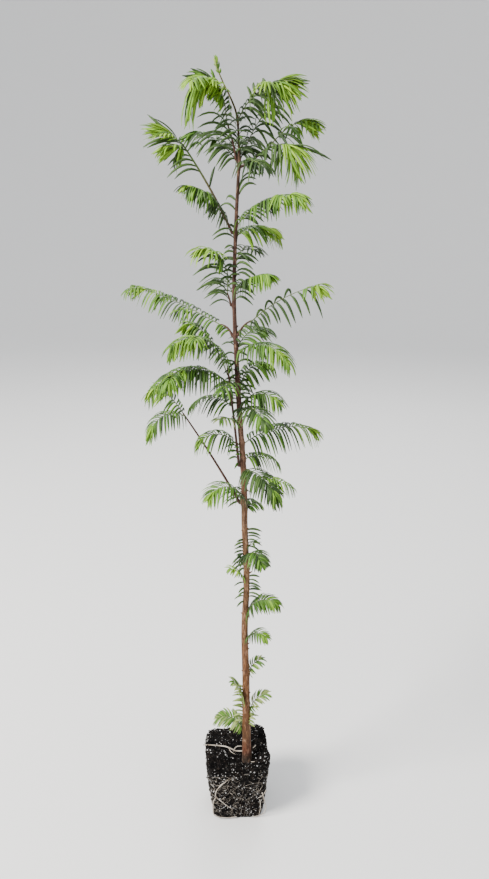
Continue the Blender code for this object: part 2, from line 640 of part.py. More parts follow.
def add_soil_top(points, faces, dice):
    # the crumbly top, from the rim in to a flat seat under the trunk
    seat = Vector((TRUNK_LINE[0][1], TRUNK_Y, 0))
    rim = PLUG_LEVELS * PLUG_SIDES
    for k in range(1, SOIL_RINGS + 1):
        share = k / SOIL_RINGS
        for s in range(PLUG_SIDES):
            edge = Vector((points[rim + s].x, points[rim + s].y, 0))
            inner = seat + (edge - seat).normalized() * SEAT_RADIUS
            place = edge.lerp(inner, share)
            rough = dice.uniform(-SOIL_ROUGH, SOIL_ROUGH) if k < SOIL_RINGS else 0.0
            place.z = PLUG_HEIGHT + (SOIL_HEIGHT - PLUG_HEIGHT) * share**1.4 + rough
            points.append(place)
        low = rim + (k - 1) * PLUG_SIDES
        faces.extend(ring_faces(low, low + PLUG_SIDES, PLUG_SIDES))
    last = rim + SOIL_RINGS * PLUG_SIDES
    faces.append(tuple(last + s for s in range(PLUG_SIDES)))


def on_front(x, z, end):
    # a place on the plug's front face; a root's ends are sunk in
    twist = math.radians(PLUG_TURN)
    depth = plug_half(z) + (-0.0008 if end else 0.0002)
    return Vector((x * math.cos(twist) + depth * math.sin(twist), x * math.sin(twist) - depth * math.cos(twist), z))


def on_soil(x, y, end):
    # a place on the soil's top; a root's ends are sunk in
    away = (Vector((x, y)) - Vector((TRUNK_LINE[0][1], TRUNK_Y))).length
    share = max(0.0, 1.0 - away / PLUG_TOP_HALF)
    lift = -0.0010 if end else 0.0006
    return Vector((x, y, PLUG_HEIGHT + (SOIL_HEIGHT - PLUG_HEIGHT) * share**1.4 + lift))


def make_root(row, lay):
    # a round root along a smooth line through its places
    places, thick, thin = row
    last = len(places) - 1
    knots = [lay(*place, k in (0, last)) for k, place in enumerate(places)]
    count = ROOT_STEPS * last
    centres = []
    for k in range(count + 1):
        i = min(k // ROOT_STEPS, last - 1)
        t = k / ROOT_STEPS - i
        a, b, c, d = (knots[min(max(i + j, 0), last)] for j in (-1, 0, 1, 2))
        curve = 2 * b + (c - a) * t + (2 * a - 5 * b + 4 * c - d) * t**2 + (3 * b - a - 3 * c + d) * t**3
        centres.append(curve / 2)
    radii = [(thick + (thin - thick) * k / count) / 2 for k in range(count + 1)]
    return tube("root", centres, radii, ROOT_SIDES)


def make_root_ball():
    meshes = [make_plug()]
    meshes += [make_root(row, on_soil) for row in ROOTS_ON_SOIL]
    meshes += [make_root(row, on_front) for row in ROOTS_ON_FRONT]
    add_object("root_ball", fuse("root_ball", meshes), "soil", smooth_angle=35)


def main():
    clear_scene()
    neighbours = Neighbours()
    make_trunk(neighbours)
    limbs = make_boughs(neighbours)
    make_masses(limbs, neighbours)
    make_root_ball()


main()
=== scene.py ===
import math
import random

import bmesh
import bpy
from mathutils import Matrix, Vector, noise


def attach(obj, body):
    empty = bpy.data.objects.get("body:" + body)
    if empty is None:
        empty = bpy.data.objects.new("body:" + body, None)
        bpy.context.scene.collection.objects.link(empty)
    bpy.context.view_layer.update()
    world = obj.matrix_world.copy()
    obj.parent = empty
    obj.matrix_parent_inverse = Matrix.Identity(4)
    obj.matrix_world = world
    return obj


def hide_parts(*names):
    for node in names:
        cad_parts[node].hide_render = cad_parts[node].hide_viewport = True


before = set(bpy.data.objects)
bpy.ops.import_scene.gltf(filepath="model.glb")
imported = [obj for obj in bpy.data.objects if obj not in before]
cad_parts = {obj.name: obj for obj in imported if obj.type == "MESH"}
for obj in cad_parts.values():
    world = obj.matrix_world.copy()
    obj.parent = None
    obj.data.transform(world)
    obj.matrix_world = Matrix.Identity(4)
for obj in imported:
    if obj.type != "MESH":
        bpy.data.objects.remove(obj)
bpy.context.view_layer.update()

up = Vector((0, 0, 1))
print("frame loaded")

# Camera and lights

view = {
    "place": (0.0075, -0.56, 0.55),
    "tiltDown": 17.0,  # degrees
    "focalPixels": 690,  # focal length in the picture's pixels
    "longSide": 879,  # the picture's height in pixels
    "sensor": 36.0,
    "nearest": 0.01,
}
lights = (
    # name, place, height that it points at, size, power, colour
    ("keyLight", (-1.4, -0.8, 1.7), 0.35, 0.8, 120, (1.0, 0.97, 0.92)),
    ("fillLight", (1.3, -1.1, 0.9), 0.30, 1.2, 5, (0.95, 0.98, 1.0)),
    ("backLight", (0.3, 1.4, 1.6), 0.40, 1.0, 18, (1, 1, 1)),
)


def linkObject(name, data):
    piece = bpy.data.objects.new(name, data)
    bpy.context.scene.collection.objects.link(piece)
    return piece


def makeCamera():
    data = bpy.data.cameras.new("camera")
    data.sensor_fit = "VERTICAL"
    data.sensor_height = view["sensor"]
    data.lens = view["sensor"] * view["focalPixels"] / view["longSide"]
    data.clip_start = view["nearest"]
    camera = linkObject("camera", data)
    camera.location = view["place"]
    camera.rotation_euler = (math.radians(90 - view["tiltDown"]), 0, 0)
    bpy.context.scene.camera = camera


def makeLight(name, place, aim, size, power, colour):
    data = bpy.data.lights.new(name, "AREA")
    data.shape = "DISK"
    data.size = size
    data.energy = power
    data.color = colour
    lamp = linkObject(name, data)
    lamp.location = place
    lamp.rotation_euler = (Vector((0, 0, aim)) - Vector(place)).to_track_quat("-Z", "Y").to_euler()


makeCamera()
for row in lights:
    makeLight(*row)

# Nodes as Python expressions


class Wire:
    # a socket in a node tree: arithmetic on it adds Math nodes
    def __init__(self, tree, socket):
        self.tree = tree
        self.socket = socket

    def maths(self, operation, first, second):
        return addNode(self.tree, "ShaderNodeMath", {"operation": operation}, {0: first, 1: second})

    def __add__(self, other):
        return self.maths("ADD", self, other)

    def __sub__(self, other):
        return self.maths("SUBTRACT", self, other)

    def __mul__(self, other):
        return self.maths("MULTIPLY", self, other)

    def __truediv__(self, other):
        return self.maths("DIVIDE", self, other)

    def __pow__(self, other):
        return self.maths("POWER", self, other)

    def __radd__(self, other):
        return self.maths("ADD", other, self)

    def __rsub__(self, other):
        return self.maths("SUBTRACT", other, self)

    def __rmul__(self, other):
        return self.maths("MULTIPLY", other, self)


def addNode(tree, kind, settings=None, inputs=None, out=0):
    # settings come first, then the sockets' values or links; a ramp's stops are one of the settings
    node = tree.nodes.new(kind)
    for key, value in (settings or {}).items():
        if key == "stops":
            elements = node.color_ramp.elements
            while len(elements) < len(value):
                elements.new(0.5)
            for stop, (place, colour) in zip(elements, value):
                stop.position = place
                stop.color = (*colour, 1.0)
        else:
            setattr(node, key, value)
    for key, value in (inputs or {}).items():
        socket = node.inputs[key]
        if isinstance(value, Wire):
            tree.links.new(value.socket, socket)
        else:
            socket.default_value = value
    return Wire(tree, node.outputs[out]) if node.outputs else None


def newMaterial(name):
    paint = bpy.data.materials.new(name)
    paint.use_nodes = True
    paint.node_tree.nodes.clear()
    return paint, paint.node_tree


def finishMaterial(tree, colour, rough, shine, bump=None):
    surface = {"Base Color": colour, "Roughness": rough, "Specular IOR Level": shine}
    if bump:
        surface["Normal"] = bump
    shader = addNode(tree, "ShaderNodeBsdfPrincipled", {}, surface)
    addNode(tree, "ShaderNodeOutputMaterial", {}, {"Surface": shader})


def objectPlace(tree, scale=(1, 1, 1)):
    place = addNode(tree, "ShaderNodeTexCoord", out=3)
    return addNode(tree, "ShaderNodeMapping", {}, {"Vector": place, "Scale": scale})


def storedTone(tree):
    # the tone that each needle or bough carries along itself
    return addNode(tree, "ShaderNodeAttribute", {"attribute_name": "tone"}, out=2)


def noiseAt(tree, place, scale, detail=3.0, rough=0.55, twist=0.0):
    return addNode(tree, "ShaderNodeTexNoise", {}, {
        "Vector": place, "Scale": scale, "Detail": detail, "Roughness": rough, "Distortion": twist})


def remap(tree, value, given, wanted):
    # the given range becomes the wanted one, and what lies beyond it is held at its ends
    sockets = dict(enumerate((*given, *wanted), 1))
    return addNode(tree, "ShaderNodeMapRange", {}, {"Value": value, **sockets})


def blend(tree, share, first, second, mode="MIX"):
    # two colours, mixed or multiplied by a share
    first, second = [colour if isinstance(colour, Wire) else (*colour, 1) for colour in (first, second)]
    return addNode(tree, "ShaderNodeMix", {"data_type": "RGBA", "blend_type": mode},
                   {0: share, 6: first, 7: second}, out=2)


def colourRamp(tree, share, stops):
    return addNode(tree, "ShaderNodeValToRGB", {"stops": stops}, {"Fac": share})


def bumpFrom(tree, height, strength, depth):
    return addNode(tree, "ShaderNodeBump", {}, {"Strength": strength, "Distance": depth, "Height": height})


# Finishes

tints = {
    # shadowed and lit colour of each tint of needle: the paler tints are the young growth, and the dark and
    # mid tints are partly the older needles' deeper green and partly painted shade, for needles deep in the
    # crown, at the feet of the sprays and on the far side
    "dark": ((0.011, 0.028, 0.006), (0.051, 0.102, 0.016)),
    "mid": ((0.025, 0.072, 0.007), (0.098, 0.220, 0.015)),
    "bright": ((0.060, 0.150, 0.008), (0.185, 0.350, 0.020)),
    "light": ((0.100, 0.208, 0.010), (0.275, 0.450, 0.030)),
    "pale": ((0.100, 0.155, 0.035), (0.320, 0.400, 0.120)),
}
needleShade = {"ownTone": 0.75, "patches": 0.8, "patchLevel": 0.35, "streaks": 0.4, "streakLevel": 0.5}


def makeNeedlePaint(tint):
    paint, tree = newMaterial("needle_" + tint)
    place = objectPlace(tree)
    tone = storedTone(tree)
    patches = noiseAt(tree, place, scale=70.0, detail=2.0)
    streaks = noiseAt(tree, place, scale=900.0, detail=2.0)
    share = tone * needleShade["ownTone"] + (patches - needleShade["patchLevel"]) * needleShade["patches"]
    share = share + (streaks - needleShade["streakLevel"]) * needleShade["streaks"]
    share = addNode(tree, "ShaderNodeClamp", {}, {"Value": share})
    bump = bumpFrom(tree, streaks, strength=0.25, depth=0.0001)
    finishMaterial(tree, blend(tree, share, *tints[tint]), rough=0.42 + 0.22 * streaks, shine=0.28, bump=bump)
    return paint


stemColours = (
    # share of the patches: brown, then green, then the palest green
    (0.30, (0.050, 0.045, 0.012)), (0.50, (0.060, 0.095, 0.014)), (0.72, (0.120, 0.190, 0.024)))


def makeTwigPaint():
    paint, tree = newMaterial("twig_green")
    place = objectPlace(tree)
    patches = noiseAt(tree, place, scale=45.0)
    grain = noiseAt(tree, place, scale=1500.0, detail=2.0)
    bump = bumpFrom(tree, grain, strength=0.4, depth=0.0001)
    colour = colourRamp(tree, patches, stemColours)
    finishMaterial(tree, colour, rough=0.42 + 0.25 * grain, shine=0.5, bump=bump)
    return paint


bark = {
    # colours by height in metres: grey at the soil, orange-brown, then maroon, then green at the tip
    "byHeight": (
        (0.054, (0.030, 0.024, 0.020)), (0.061, (0.046, 0.030, 0.020)), (0.068, (0.110, 0.038, 0.020)),
        (0.085, (0.112, 0.052, 0.021)), (0.130, (0.130, 0.052, 0.018)), (0.190, (0.145, 0.064, 0.026)),
        (0.270, (0.175, 0.094, 0.044)), (0.340, (0.150, 0.076, 0.040)), (0.390, (0.135, 0.066, 0.042)),
        (0.440, (0.076, 0.034, 0.025)), (0.560, (0.058, 0.025, 0.017)), (0.620, (0.065, 0.036, 0.018)),
        (0.650, (0.100, 0.100, 0.025)),
    ),
    "foot": 0.05,
    "reach": 0.62,
    "furrow": (0.22, 0.16, 0.15),  # what the colour is multiplied by in a furrow
    "furrowDepth": 0.85,
    "speck": (0.35, 0.28, 0.26),  # and in a dark speck
    "flake": (0.34, 0.20, 0.13),  # what a pale flake adds
    "flakeLeast": 0.3,
    "flakePatches": 0.8,
    # young bark by age: reddish brown, brown, olive, green
    "young": ((0.0, (0.066, 0.027, 0.018)), (0.45, (0.074, 0.036, 0.018)), (0.75, (0.062, 0.060, 0.016)),
              (1.0, (0.055, 0.100, 0.014))),
    "youngPatches": 0.35,
    "youngFleck": (0.30, 0.25, 0.22),
}


def makeBarkPaint():
    paint, tree = newMaterial("bark")
    place = objectPlace(tree)
    height = addNode(tree, "ShaderNodeSeparateXYZ", {}, {"Vector": place}, out=2)
    stops = tuple(((z - bark["foot"]) / bark["reach"], colour) for z, colour in bark["byHeight"])
    base = colourRamp(tree, (height - bark["foot"]) / bark["reach"], stops)
    furrows = noiseAt(tree, objectPlace(tree, (1, 1, 0.10)), scale=800.0, detail=4.0, rough=0.65, twist=0.5)
    flakes = noiseAt(tree, objectPlace(tree, (1, 1, 0.35)), scale=420.0, detail=4.0, rough=0.65)
    specks = noiseAt(tree, objectPlace(tree, (1, 1, 0.6)), scale=950.0, detail=2.0)
    patches = noiseAt(tree, place, scale=60.0, detail=2.0)
    darker = remap(tree, furrows, (0.38, 0.54), (1.0, 0.0))
    spots = remap(tree, specks, (0.58, 0.68), (0.0, 0.8))
    paler = remap(tree, flakes, (0.52, 0.68), (0.0, 0.75))
    deep = blend(tree, darker * bark["furrowDepth"], base, bark["furrow"], "MULTIPLY")
    dotted = blend(tree, spots, deep, bark["speck"], "MULTIPLY")
    paler = paler * (bark["flakeLeast"] + bark["flakePatches"] * patches)
    flaked = blend(tree, paler, dotted, bark["flake"], "SCREEN")
    bump = bumpFrom(tree, furrows * 0.6 + flakes * 0.5, strength=0.9, depth=0.0007)
    finishMaterial(tree, flaked, rough=0.60 + 0.30 * flakes, shine=0.25, bump=bump)
    return paint


def makeBoughPaint():
    # reddish brown at the foot, and green where the wood is young; age is stored on the boughs
    paint, tree = newMaterial("young_bark")
    place = objectPlace(tree)
    age = storedTone(tree)
    patches = noiseAt(tree, place, scale=140.0)
    grain = noiseAt(tree, objectPlace(tree, (1, 1, 0.3)), scale=1300.0)
    base = colourRamp(tree, age + (patches - 0.5) * bark["youngPatches"], bark["young"])
    flecks = remap(tree, grain, (0.40, 0.55), (0.7, 0.0))
    flecked = blend(tree, flecks, base, bark["youngFleck"], "MULTIPLY")
    bump = bumpFrom(tree, grain, strength=0.6, depth=0.0003)
    finishMaterial(tree, flecked, rough=0.5 + 0.3 * grain, shine=0.3, bump=bump)
    return paint


peatMix = {
    # black to brown by the mix of grains, fibres and patches
    "stops": ((0.40, (0.0004, 0.0003, 0.0004)), (0.53, (0.0018, 0.0014, 0.0014)),
              (0.60, (0.012, 0.009, 0.0075)), (0.70, (0.080, 0.062, 0.050))),
    "grains": 0.60,
    "fibres": 0.40,
    "patches": 0.16,
}


def makePeatPaint():
    paint, tree = newMaterial("peat")
    place = objectPlace(tree)
    grains = noiseAt(tree, place, scale=620.0, detail=5.0, rough=0.65)
    clods = noiseAt(tree, place, scale=120.0)
    patches = noiseAt(tree, place, scale=48.0, detail=2.0)
    fibres = noiseAt(tree, objectPlace(tree, (1, 1, 0.22)), scale=520.0, rough=0.6, twist=1.5)
    share = grains * peatMix["grains"] + fibres * peatMix["fibres"]
    share = share + (patches - 0.5) * peatMix["patches"]
    base = colourRamp(tree, share, peatMix["stops"])
    bump = bumpFrom(tree, grains + clods, strength=1.0, depth=0.0012)
    finishMaterial(tree, base, rough=remap(tree, clods, (0.35, 0.65), (0.55, 0.95)), shine=0.06, bump=bump)
    return paint


grainPaints = {
    # dark and pale colour, roughness, shine, scale of the patches
    "perlite": ((0.035, 0.033, 0.032), (0.66, 0.65, 0.64), 0.6, 0.2, 330.0),
    "crumb": ((0.0005, 0.0004, 0.0004), (0.022, 0.017, 0.014), 0.75, 0.08, 210.0),
    "main_root": ((0.22, 0.18, 0.14), (0.56, 0.51, 0.44), 0.55, 0.2, 160.0),
    "hair_root": ((0.035, 0.028, 0.024), (0.36, 0.32, 0.27), 0.6, 0.15, 120.0),
}


def makeGrainPaint(name):
    low, high, rough, shine, spread = grainPaints[name]
    paint, tree = newMaterial(name)
    place = objectPlace(tree)
    patches = noiseAt(tree, place, spread, detail=2.0)
    grain = noiseAt(tree, place, scale=1800.0)
    share = addNode(tree, "ShaderNodeClamp", {}, {"Value": (patches - 0.34) * 3.0 + (grain - 0.5) * 0.5})
    bump = bumpFrom(tree, grain, strength=0.6, depth=0.0002)
    finishMaterial(tree, blend(tree, share, low, high), rough + 0.2 * grain, shine, bump)
    return paint


needlePaint = {tint: makeNeedlePaint(tint) for tint in tints}
twigPaint = makeTwigPaint()
barkPaint = makeBarkPaint()
boughPaint = makeBoughPaint()
peatPaint = makePeatPaint()
grainPaint = {name: makeGrainPaint(name) for name in grainPaints}
print("finishes made")

# Geometry Nodes that sweep and scatter


def newGeometryTree(name, sizes):
    tree = bpy.data.node_groups.new(name, "GeometryNodeTree")
    tree.interface.new_socket("Geometry", in_out="INPUT", socket_type="NodeSocketGeometry")
    for label, kind in sizes:
        tree.interface.new_socket(label, in_out="INPUT", socket_type="NodeSocket" + kind)
    tree.interface.new_socket("Material", in_out="INPUT", socket_type="NodeSocketMaterial")
    tree.interface.new_socket("Geometry", in_out="OUTPUT", socket_type="NodeSocketGeometry")
    start = tree.nodes.new("NodeGroupInput")
    return tree, {socket.name: Wire(tree, socket) for socket in start.outputs if socket.name}


def endGeometryTree(tree, geometry, material):
    whole = addNode(tree, "GeometryNodeRealizeInstances", {}, {"Geometry": geometry})
    painted = addNode(tree, "GeometryNodeSetMaterial", {}, {"Geometry": whole, "Material": material})
    addNode(tree, "NodeGroupOutput", {}, {"Geometry": painted})
    return tree


def storedValue(tree, name, kind):
    return addNode(tree, "GeometryNodeInputNamedAttribute", {"data_type": kind}, {"Name": name})


def sweep(tree, given, curve, section):
    # each line of edges becomes one limb, as thick as its taper says
    taper = storedValue(tree, "taper", "FLOAT")
    limb = addNode(tree, "GeometryNodeCurveToMesh", {}, {
        "Curve": curve, "Profile Curve": section, "Scale": taper, "Fill Caps": True})
    smooth = addNode(tree, "GeometryNodeSetShadeSmooth", {}, {"Geometry": limb, "Shade Smooth": True})
    return endGeometryTree(tree, smooth, given["Material"])


def makeNeedleTree():
    # a flat needle with a ridge, and a lower one beneath
    tree, given = newGeometryTree("sweepNeedles", (("Width", "Float"), ("Thickness", "Float")))
    lines = addNode(tree, "GeometryNodeMeshToCurve", {}, {"Mesh": given["Geometry"]})
    lean = storedValue(tree, "lean", "FLOAT_VECTOR")
    turned = addNode(tree, "GeometryNodeSetCurveNormal", {"mode": "FREE"}, {"Curve": lines, "Normal": lean})
    section = addNode(tree, "GeometryNodeCurvePrimitiveQuadrilateral", {"mode": "KITE"}, {
        "Width": given["Width"], "Bottom Height": given["Thickness"], "Top Height": given["Thickness"] * 0.4})
    return sweep(tree, given, turned, section)


def makeTwigTree():
    # a round twig or root, whose radius is its taper
    tree, given = newGeometryTree("sweepTwigs", (("Sides", "Int"),))
    lines = addNode(tree, "GeometryNodeMeshToCurve", {}, {"Mesh": given["Geometry"]})
    section = addNode(tree, "GeometryNodeCurvePrimitiveCircle", {}, {
        "Resolution": given["Sides"], "Radius": 1.0})
    return sweep(tree, given, lines, section)


grains = {
    "clumpScale": 75.0,
    "clumpRange": (0.42, 0.66),
    "crowding": (0.25, 2.2),  # grains between the clumps and in them, as a share of the density
    "fullTurn": 6.28,
    "leastStretch": (0.6, 0.7, 0.5),
    "mostStretch": (1.3, 1.2, 1.0),
    "favourSmall": 3,  # power that makes small grains more common
    "sizeSeed": 7,
    "stretchSeed": 5,
}


def makeGrainTree():
    # small uneven grains, scattered on a surface and half sunk in it
    tree, given = newGeometryTree("scatterGrains", (
        ("Density", "Float"), ("Smallest", "Float"), ("Largest", "Float"), ("Seed", "Int")))
    clumps = addNode(tree, "ShaderNodeTexNoise", {}, {"Scale": grains["clumpScale"], "Detail": 3.0})
    crowd = remap(tree, clumps, grains["clumpRange"], grains["crowding"])
    spots = addNode(tree, "GeometryNodeDistributePointsOnFaces", {}, {
        "Mesh": given["Geometry"], "Density": given["Density"] * crowd, "Seed": given["Seed"]})
    ball = addNode(tree, "GeometryNodeMeshIcoSphere", {}, {"Radius": 1.0, "Subdivisions": 1})
    turn = addNode(tree, "FunctionNodeRandomValue", {"data_type": "FLOAT_VECTOR"},
                   {"Min": (0, 0, 0), "Max": (grains["fullTurn"],) * 3, "Seed": given["Seed"]})
    share = addNode(tree, "FunctionNodeRandomValue", {"data_type": "FLOAT"},
                    {2: 0.0, 3: 1.0, "Seed": grains["sizeSeed"]}, out=1)
    size = given["Smallest"] + (given["Largest"] - given["Smallest"]) * share ** grains["favourSmall"]
    uneven = addNode(tree, "FunctionNodeRandomValue", {"data_type": "FLOAT_VECTOR"}, {
        "Min": grains["leastStretch"], "Max": grains["mostStretch"], "Seed": grains["stretchSeed"]})
    scale = addNode(tree, "ShaderNodeVectorMath", {"operation": "SCALE"}, {0: uneven, "Scale": size})
    spread = addNode(tree, "GeometryNodeInstanceOnPoints", {}, {
        "Points": spots, "Instance": ball, "Rotation": turn, "Scale": scale})
    return endGeometryTree(tree, spread, given["Material"])


def runTree(name, mesh, tree, values):
    # evaluates the tree on the mesh and keeps the result as a plain mesh object
    carrier = linkObject(name + "_lines", mesh)
    grow = carrier.modifiers.new("grow", "NODES")
    grow.node_group = tree
    names = {item.name: item.identifier for item in tree.interface.items_tree if item.in_out == "INPUT"}
    for label, value in values.items():
        grow[names[label]] = value
    bpy.context.view_layer.update()
    result = bpy.data.meshes.new_from_object(carrier.evaluated_get(bpy.context.evaluated_depsgraph_get()))
    result.name = name
    bpy.data.objects.remove(carrier, do_unlink=True)
    return linkObject(name, result)


class Lines:
    # lines of points with a taper, a lean and a tone at each point, kept as a mesh of edges
    def __init__(self):
        self.points = []
        self.edges = []
        self.tapers = []
        self.leans = []
        self.tones = []

    def add(self, points, tapers, leans=None, tones=None):
        first = len(self.points)
        self.points.extend(tuple(p) for p in points)
        self.edges.extend((first + k, first + k + 1) for k in range(len(points) - 1))
        self.tapers.extend(tapers)
        self.leans.extend(tuple(v) for v in (leans or [up] * len(points)))
        self.tones.extend(tones or [0.5] * len(points))

    def mesh(self):
        mesh = bpy.data.meshes.new("lines")
        mesh.from_pydata(self.points, self.edges, [])
        mesh.attributes.new("taper", "FLOAT", "POINT").data.foreach_set("value", self.tapers)
        mesh.attributes.new("tone", "FLOAT", "POINT").data.foreach_set("value", self.tones)
        flat = [number for lean in self.leans for number in lean]
        mesh.attributes.new("lean", "FLOAT_VECTOR", "POINT").data.foreach_set("vector", flat)
        return mesh


needleTree = makeNeedleTree()
twigTree = makeTwigTree()
grainTree = makeGrainTree()

# The rule that everything grows by


def heading(azimuth, elevation):
    a = math.radians(azimuth)
    e = math.radians(elevation)
    return Vector((math.cos(a) * math.cos(e), math.sin(a) * math.cos(e), math.sin(e)))


def smoothBetween(rows, at):
    # a value that passes smoothly through the rows of (place, value)
    keys = [row[0] for row in rows]
    values = [row[1] for row in rows]
    if at <= keys[0]:
        return values[0]
    if at >= keys[-1]:
        return values[-1]
    i = max(k for k in range(len(keys) - 1) if keys[k] <= at)
    span = keys[i + 1] - keys[i]
    t = (at - keys[i]) / span
    before = max(i - 1, 0)
    after = min(i + 2, len(keys) - 1)
    slopeA = (values[i + 1] - values[before]) / (keys[i + 1] - keys[before]) * span
    slopeB = (values[after] - values[i]) / (keys[after] - keys[i]) * span
    low = (2 * t**3 - 3 * t**2 + 1) * values[i] + (t**3 - 2 * t**2 + t) * slopeA
    return low + (3 * t**2 - 2 * t**3) * values[i + 1] + (t**3 - t**2) * slopeB


class Limb:
    # a curve in an upright plane that bends from one elevation to another
    def __init__(self, start, azimuth, length, rise, fall, bend=1.0, steps=24):
        self.azimuth = azimuth
        self.rise = rise
        self.fall = fall
        self.bend = bend
        self.points = [Vector(start)]
        for k in range(steps):
            self.points.append(self.points[-1] + self.direction((k + 0.5) / steps) * (length / steps))

    def elevation(self, share):
        return self.rise + (self.fall - self.rise) * share**self.bend

    def direction(self, share):
        return heading(self.azimuth, self.elevation(share))

    def side(self):
        return heading(self.azimuth + 90, 0)

    def at(self, share):
        place = min(max(share, 0.0), 1.0) * (len(self.points) - 1)
        k = min(int(place), len(self.points) - 2)
        return self.points[k].lerp(self.points[k + 1], place - k)


needle = {
    "width": 0.0021,
    "thickness": 0.00040,
    "taper": (0.38, 0.82, 0.98, 1.0, 0.94, 0.74, 0.18),  # share of the width along a needle
    "arch": 0.42,  # how far it arches up before it droops
    "roll": 12.0,  # degrees that a needle is turned about itself, either way
    "sway": 5.0,  # degrees that its angle from the stem varies, either way
    "shift": 0.20,  # share of the gap between pairs that its foot varies by, either way
    "sizes": (0.90, 1.08),
    "hangs": (0.80, 1.20),  # how the droop varies
    "tonedAlong": 0.25,  # how much paler a needle's tip is than its foot
    "finer": 1.3,  # pairs grown for each pair in the rows
    "crowding": 1.15,  # power by which the pairs crowd towards the tip
    "missing": 0.03,  # share of needles that are lost
    "shaded": 0.38,  # share of needles that are a tint darker than their part of the spray, as painted shade
    "nearHang": 1.10,  # share of the droop on the side that faces the camera
    "farHang": 0.25,  # and on the far side of a level stem
    "steepFrom": 0.6,  # stems that rise more steeply than this droop alike on both sides
    "firstAngle": 70.0,  # degrees from the stem at the spray's foot
    "lastAngle": 24.0,
    "closing": 1.7,  # power by which the angle closes towards the tip
    "footSize": 0.70,  # size of the first needles
    "swell": 0.30,  # how much larger the middle ones are
    "swellFrom": 0.15,
    "swellOver": 0.85,
    "tipFrom": 0.6,  # beyond this the needles get shorter by tipLoss
    "tipLoss": {"dark": 0.36, "mid": 0.28, "bright": 0.10, "light": 0.05, "pale": 0.15},
    "tipHang": {"dark": 0.0, "mid": 0.2, "bright": 0.35, "light": 0.4, "pale": 0.1},
    "darker": {"dark": "dark", "mid": "dark", "bright": "mid", "light": "bright", "pale": "mid"},
}
needleLines = {tint: Lines() for tint in tints}
twigLines = Lines()


def growNeedle(tint, root, out, face, length, droop, roll, tone):
    # one needle sets off along out with this face up, arches and droops
    face = Matrix.Rotation(math.radians(roll), 3, out) @ face
    scale = length / (out - up * droop).length
    last = len(needle["taper"]) - 1
    points = []
    for k in range(last + 1):
        t = k / last
        bow = face * (needle["arch"] * t * (1 - t))
        points.append(root + (out * t + bow - up * (droop * t * t)) * scale)
    leans = []
    for k in range(last + 1):
        run = (points[min(k + 1, last)] - points[max(k - 1, 0)]).normalized()
        leans.append(face.cross(run).normalized())
    tones = [tone + needle["tonedAlong"] * (k / last - 0.5) for k in range(last + 1)]
    needleLines[tint].add(points, needle["taper"], leans, tones)


def shadeOf(tint, dice, share):
    # now and then a needle is a tint darker than its neighbours, as painted shade
    return needle["darker"][tint] if dice.random() < share else tint


# Trunk

trunk = {
    "y": -0.008,
    "line": (
        (0.0543, 0.0098), (0.100, 0.0092), (0.150, 0.0088), (0.200, 0.0076), (0.250, 0.0094), (0.300, 0.0077),
        (0.350, 0.0068), (0.400, 0.0036), (0.450, 0.0010), (0.500, -0.0007), (0.550, 0.0008), (0.600, 0.0034),
        (0.620, 0.0029), (0.631, 0.0014), (0.640, -0.0022), (0.650, -0.0075), (0.657, -0.0108)),
    "diameter": (
        (0.0543, 0.0094), (0.075, 0.0080), (0.125, 0.0070), (0.210, 0.0061), (0.330, 0.0053), (0.390, 0.0046),
        (0.457, 0.0037), (0.500, 0.0032), (0.570, 0.0028), (0.612, 0.0019), (0.639, 0.0013), (0.657, 0.0009)),
    "sides": 40,
    "rings": 430,
    "sunk": 0.002,  # goes this far into the soil
    "flareHeight": 0.012,
    "flareSpread": 0.17,
    "flareLobes": 5,
    "lobeDepth": 0.4,
    "oval": 0.03,  # how far the section is from round, and how that turns with height
    "ovalTwist": 22,
    "furrow": 0.00022,  # depth of the bark's furrows at the foot
    "knot": 0.0007,  # how far a knot stands out where a stem leaves
    "knotReach": 0.007,
    "knotHeight": 0.0026,
}
# buds and stubs on the bark: height, azimuth, length
buds = (
    (0.2985, 215, 0.0022), (0.3000, -35, 0.0028), (0.2305, -60, 0.0014), (0.2165, 195, 0.0024),
    (0.1850, -20, 0.0030), (0.1795, -15, 0.0024), (0.1560, 190, 0.0020), (0.1560, -30, 0.0016),
    (0.1320, -20, 0.0024), (0.1130, -50, 0.0018), (0.2570, -10, 0.0040), (0.3650, -40, 0.0018),
    (0.4050, 205, 0.0016), (0.4400, 190, 0.0020), (0.4750, -25, 0.0022), (0.5150, 10, 0.0018),
    (0.5350, 200, 0.0018), (0.5750, -15, 0.0016), (0.0980, 120, 0.0018), (0.2400, 80, 0.0020),
    (0.3350, 100, 0.0024), (0.3900, 60, 0.0020), (0.4850, 95, 0.0018),
)
budShape = {
    "along": (0, 0.35, 0.6, 0.85, 1.0),
    "radii": (0.00075, 0.00072, 0.00062, 0.00042, 0.00012),
    "sides": 8, "furrow": 0.0001, "rise": 38, "sunk": 0.75,
}


def trunkCentre(height):
    return Vector((smoothBetween(trunk["line"], height), trunk["y"], height))


def trunkRadius(height):
    return smoothBetween(trunk["diameter"], height) / 2


def insideTrunk(height, azimuth, share):
    # a point at this share of the way from the trunk's middle to its bark
    return trunkCentre(height) + heading(azimuth, 0) * trunkRadius(height) * share


boughs = {
    # height on the trunk, azimuth, length, elevation at foot and tip, both diameters
    "bough_upper_left": (0.599, 195, 0.026, 82, 68, 0.0016, 0.0012),
    "bough_left_crown": (0.547, 162, 0.075, 64, 53, 0.0021, 0.0013),
    "bough_right_crown": (0.594, -20, 0.025, 24, 38, 0.0016, 0.0012),
    "bough_left_middle": (0.492, 190, 0.01, 84, 66, 0.0015, 0.0012),
    "bough_right_long": (0.469, -32, 0.018, 70, 18, 0.0018, 0.0013),
    "bough_left_long": (0.468, 150, 0.014, 72, 2, 0.0019, 0.0014),
    "bough_left_upright": (0.359, 212, 0.085, 84, 82, 0.0024, 0.0014),
    "bough_left_slanting": (0.324, 165, 0.091, 60, 54, 0.0024, 0.0013),
}
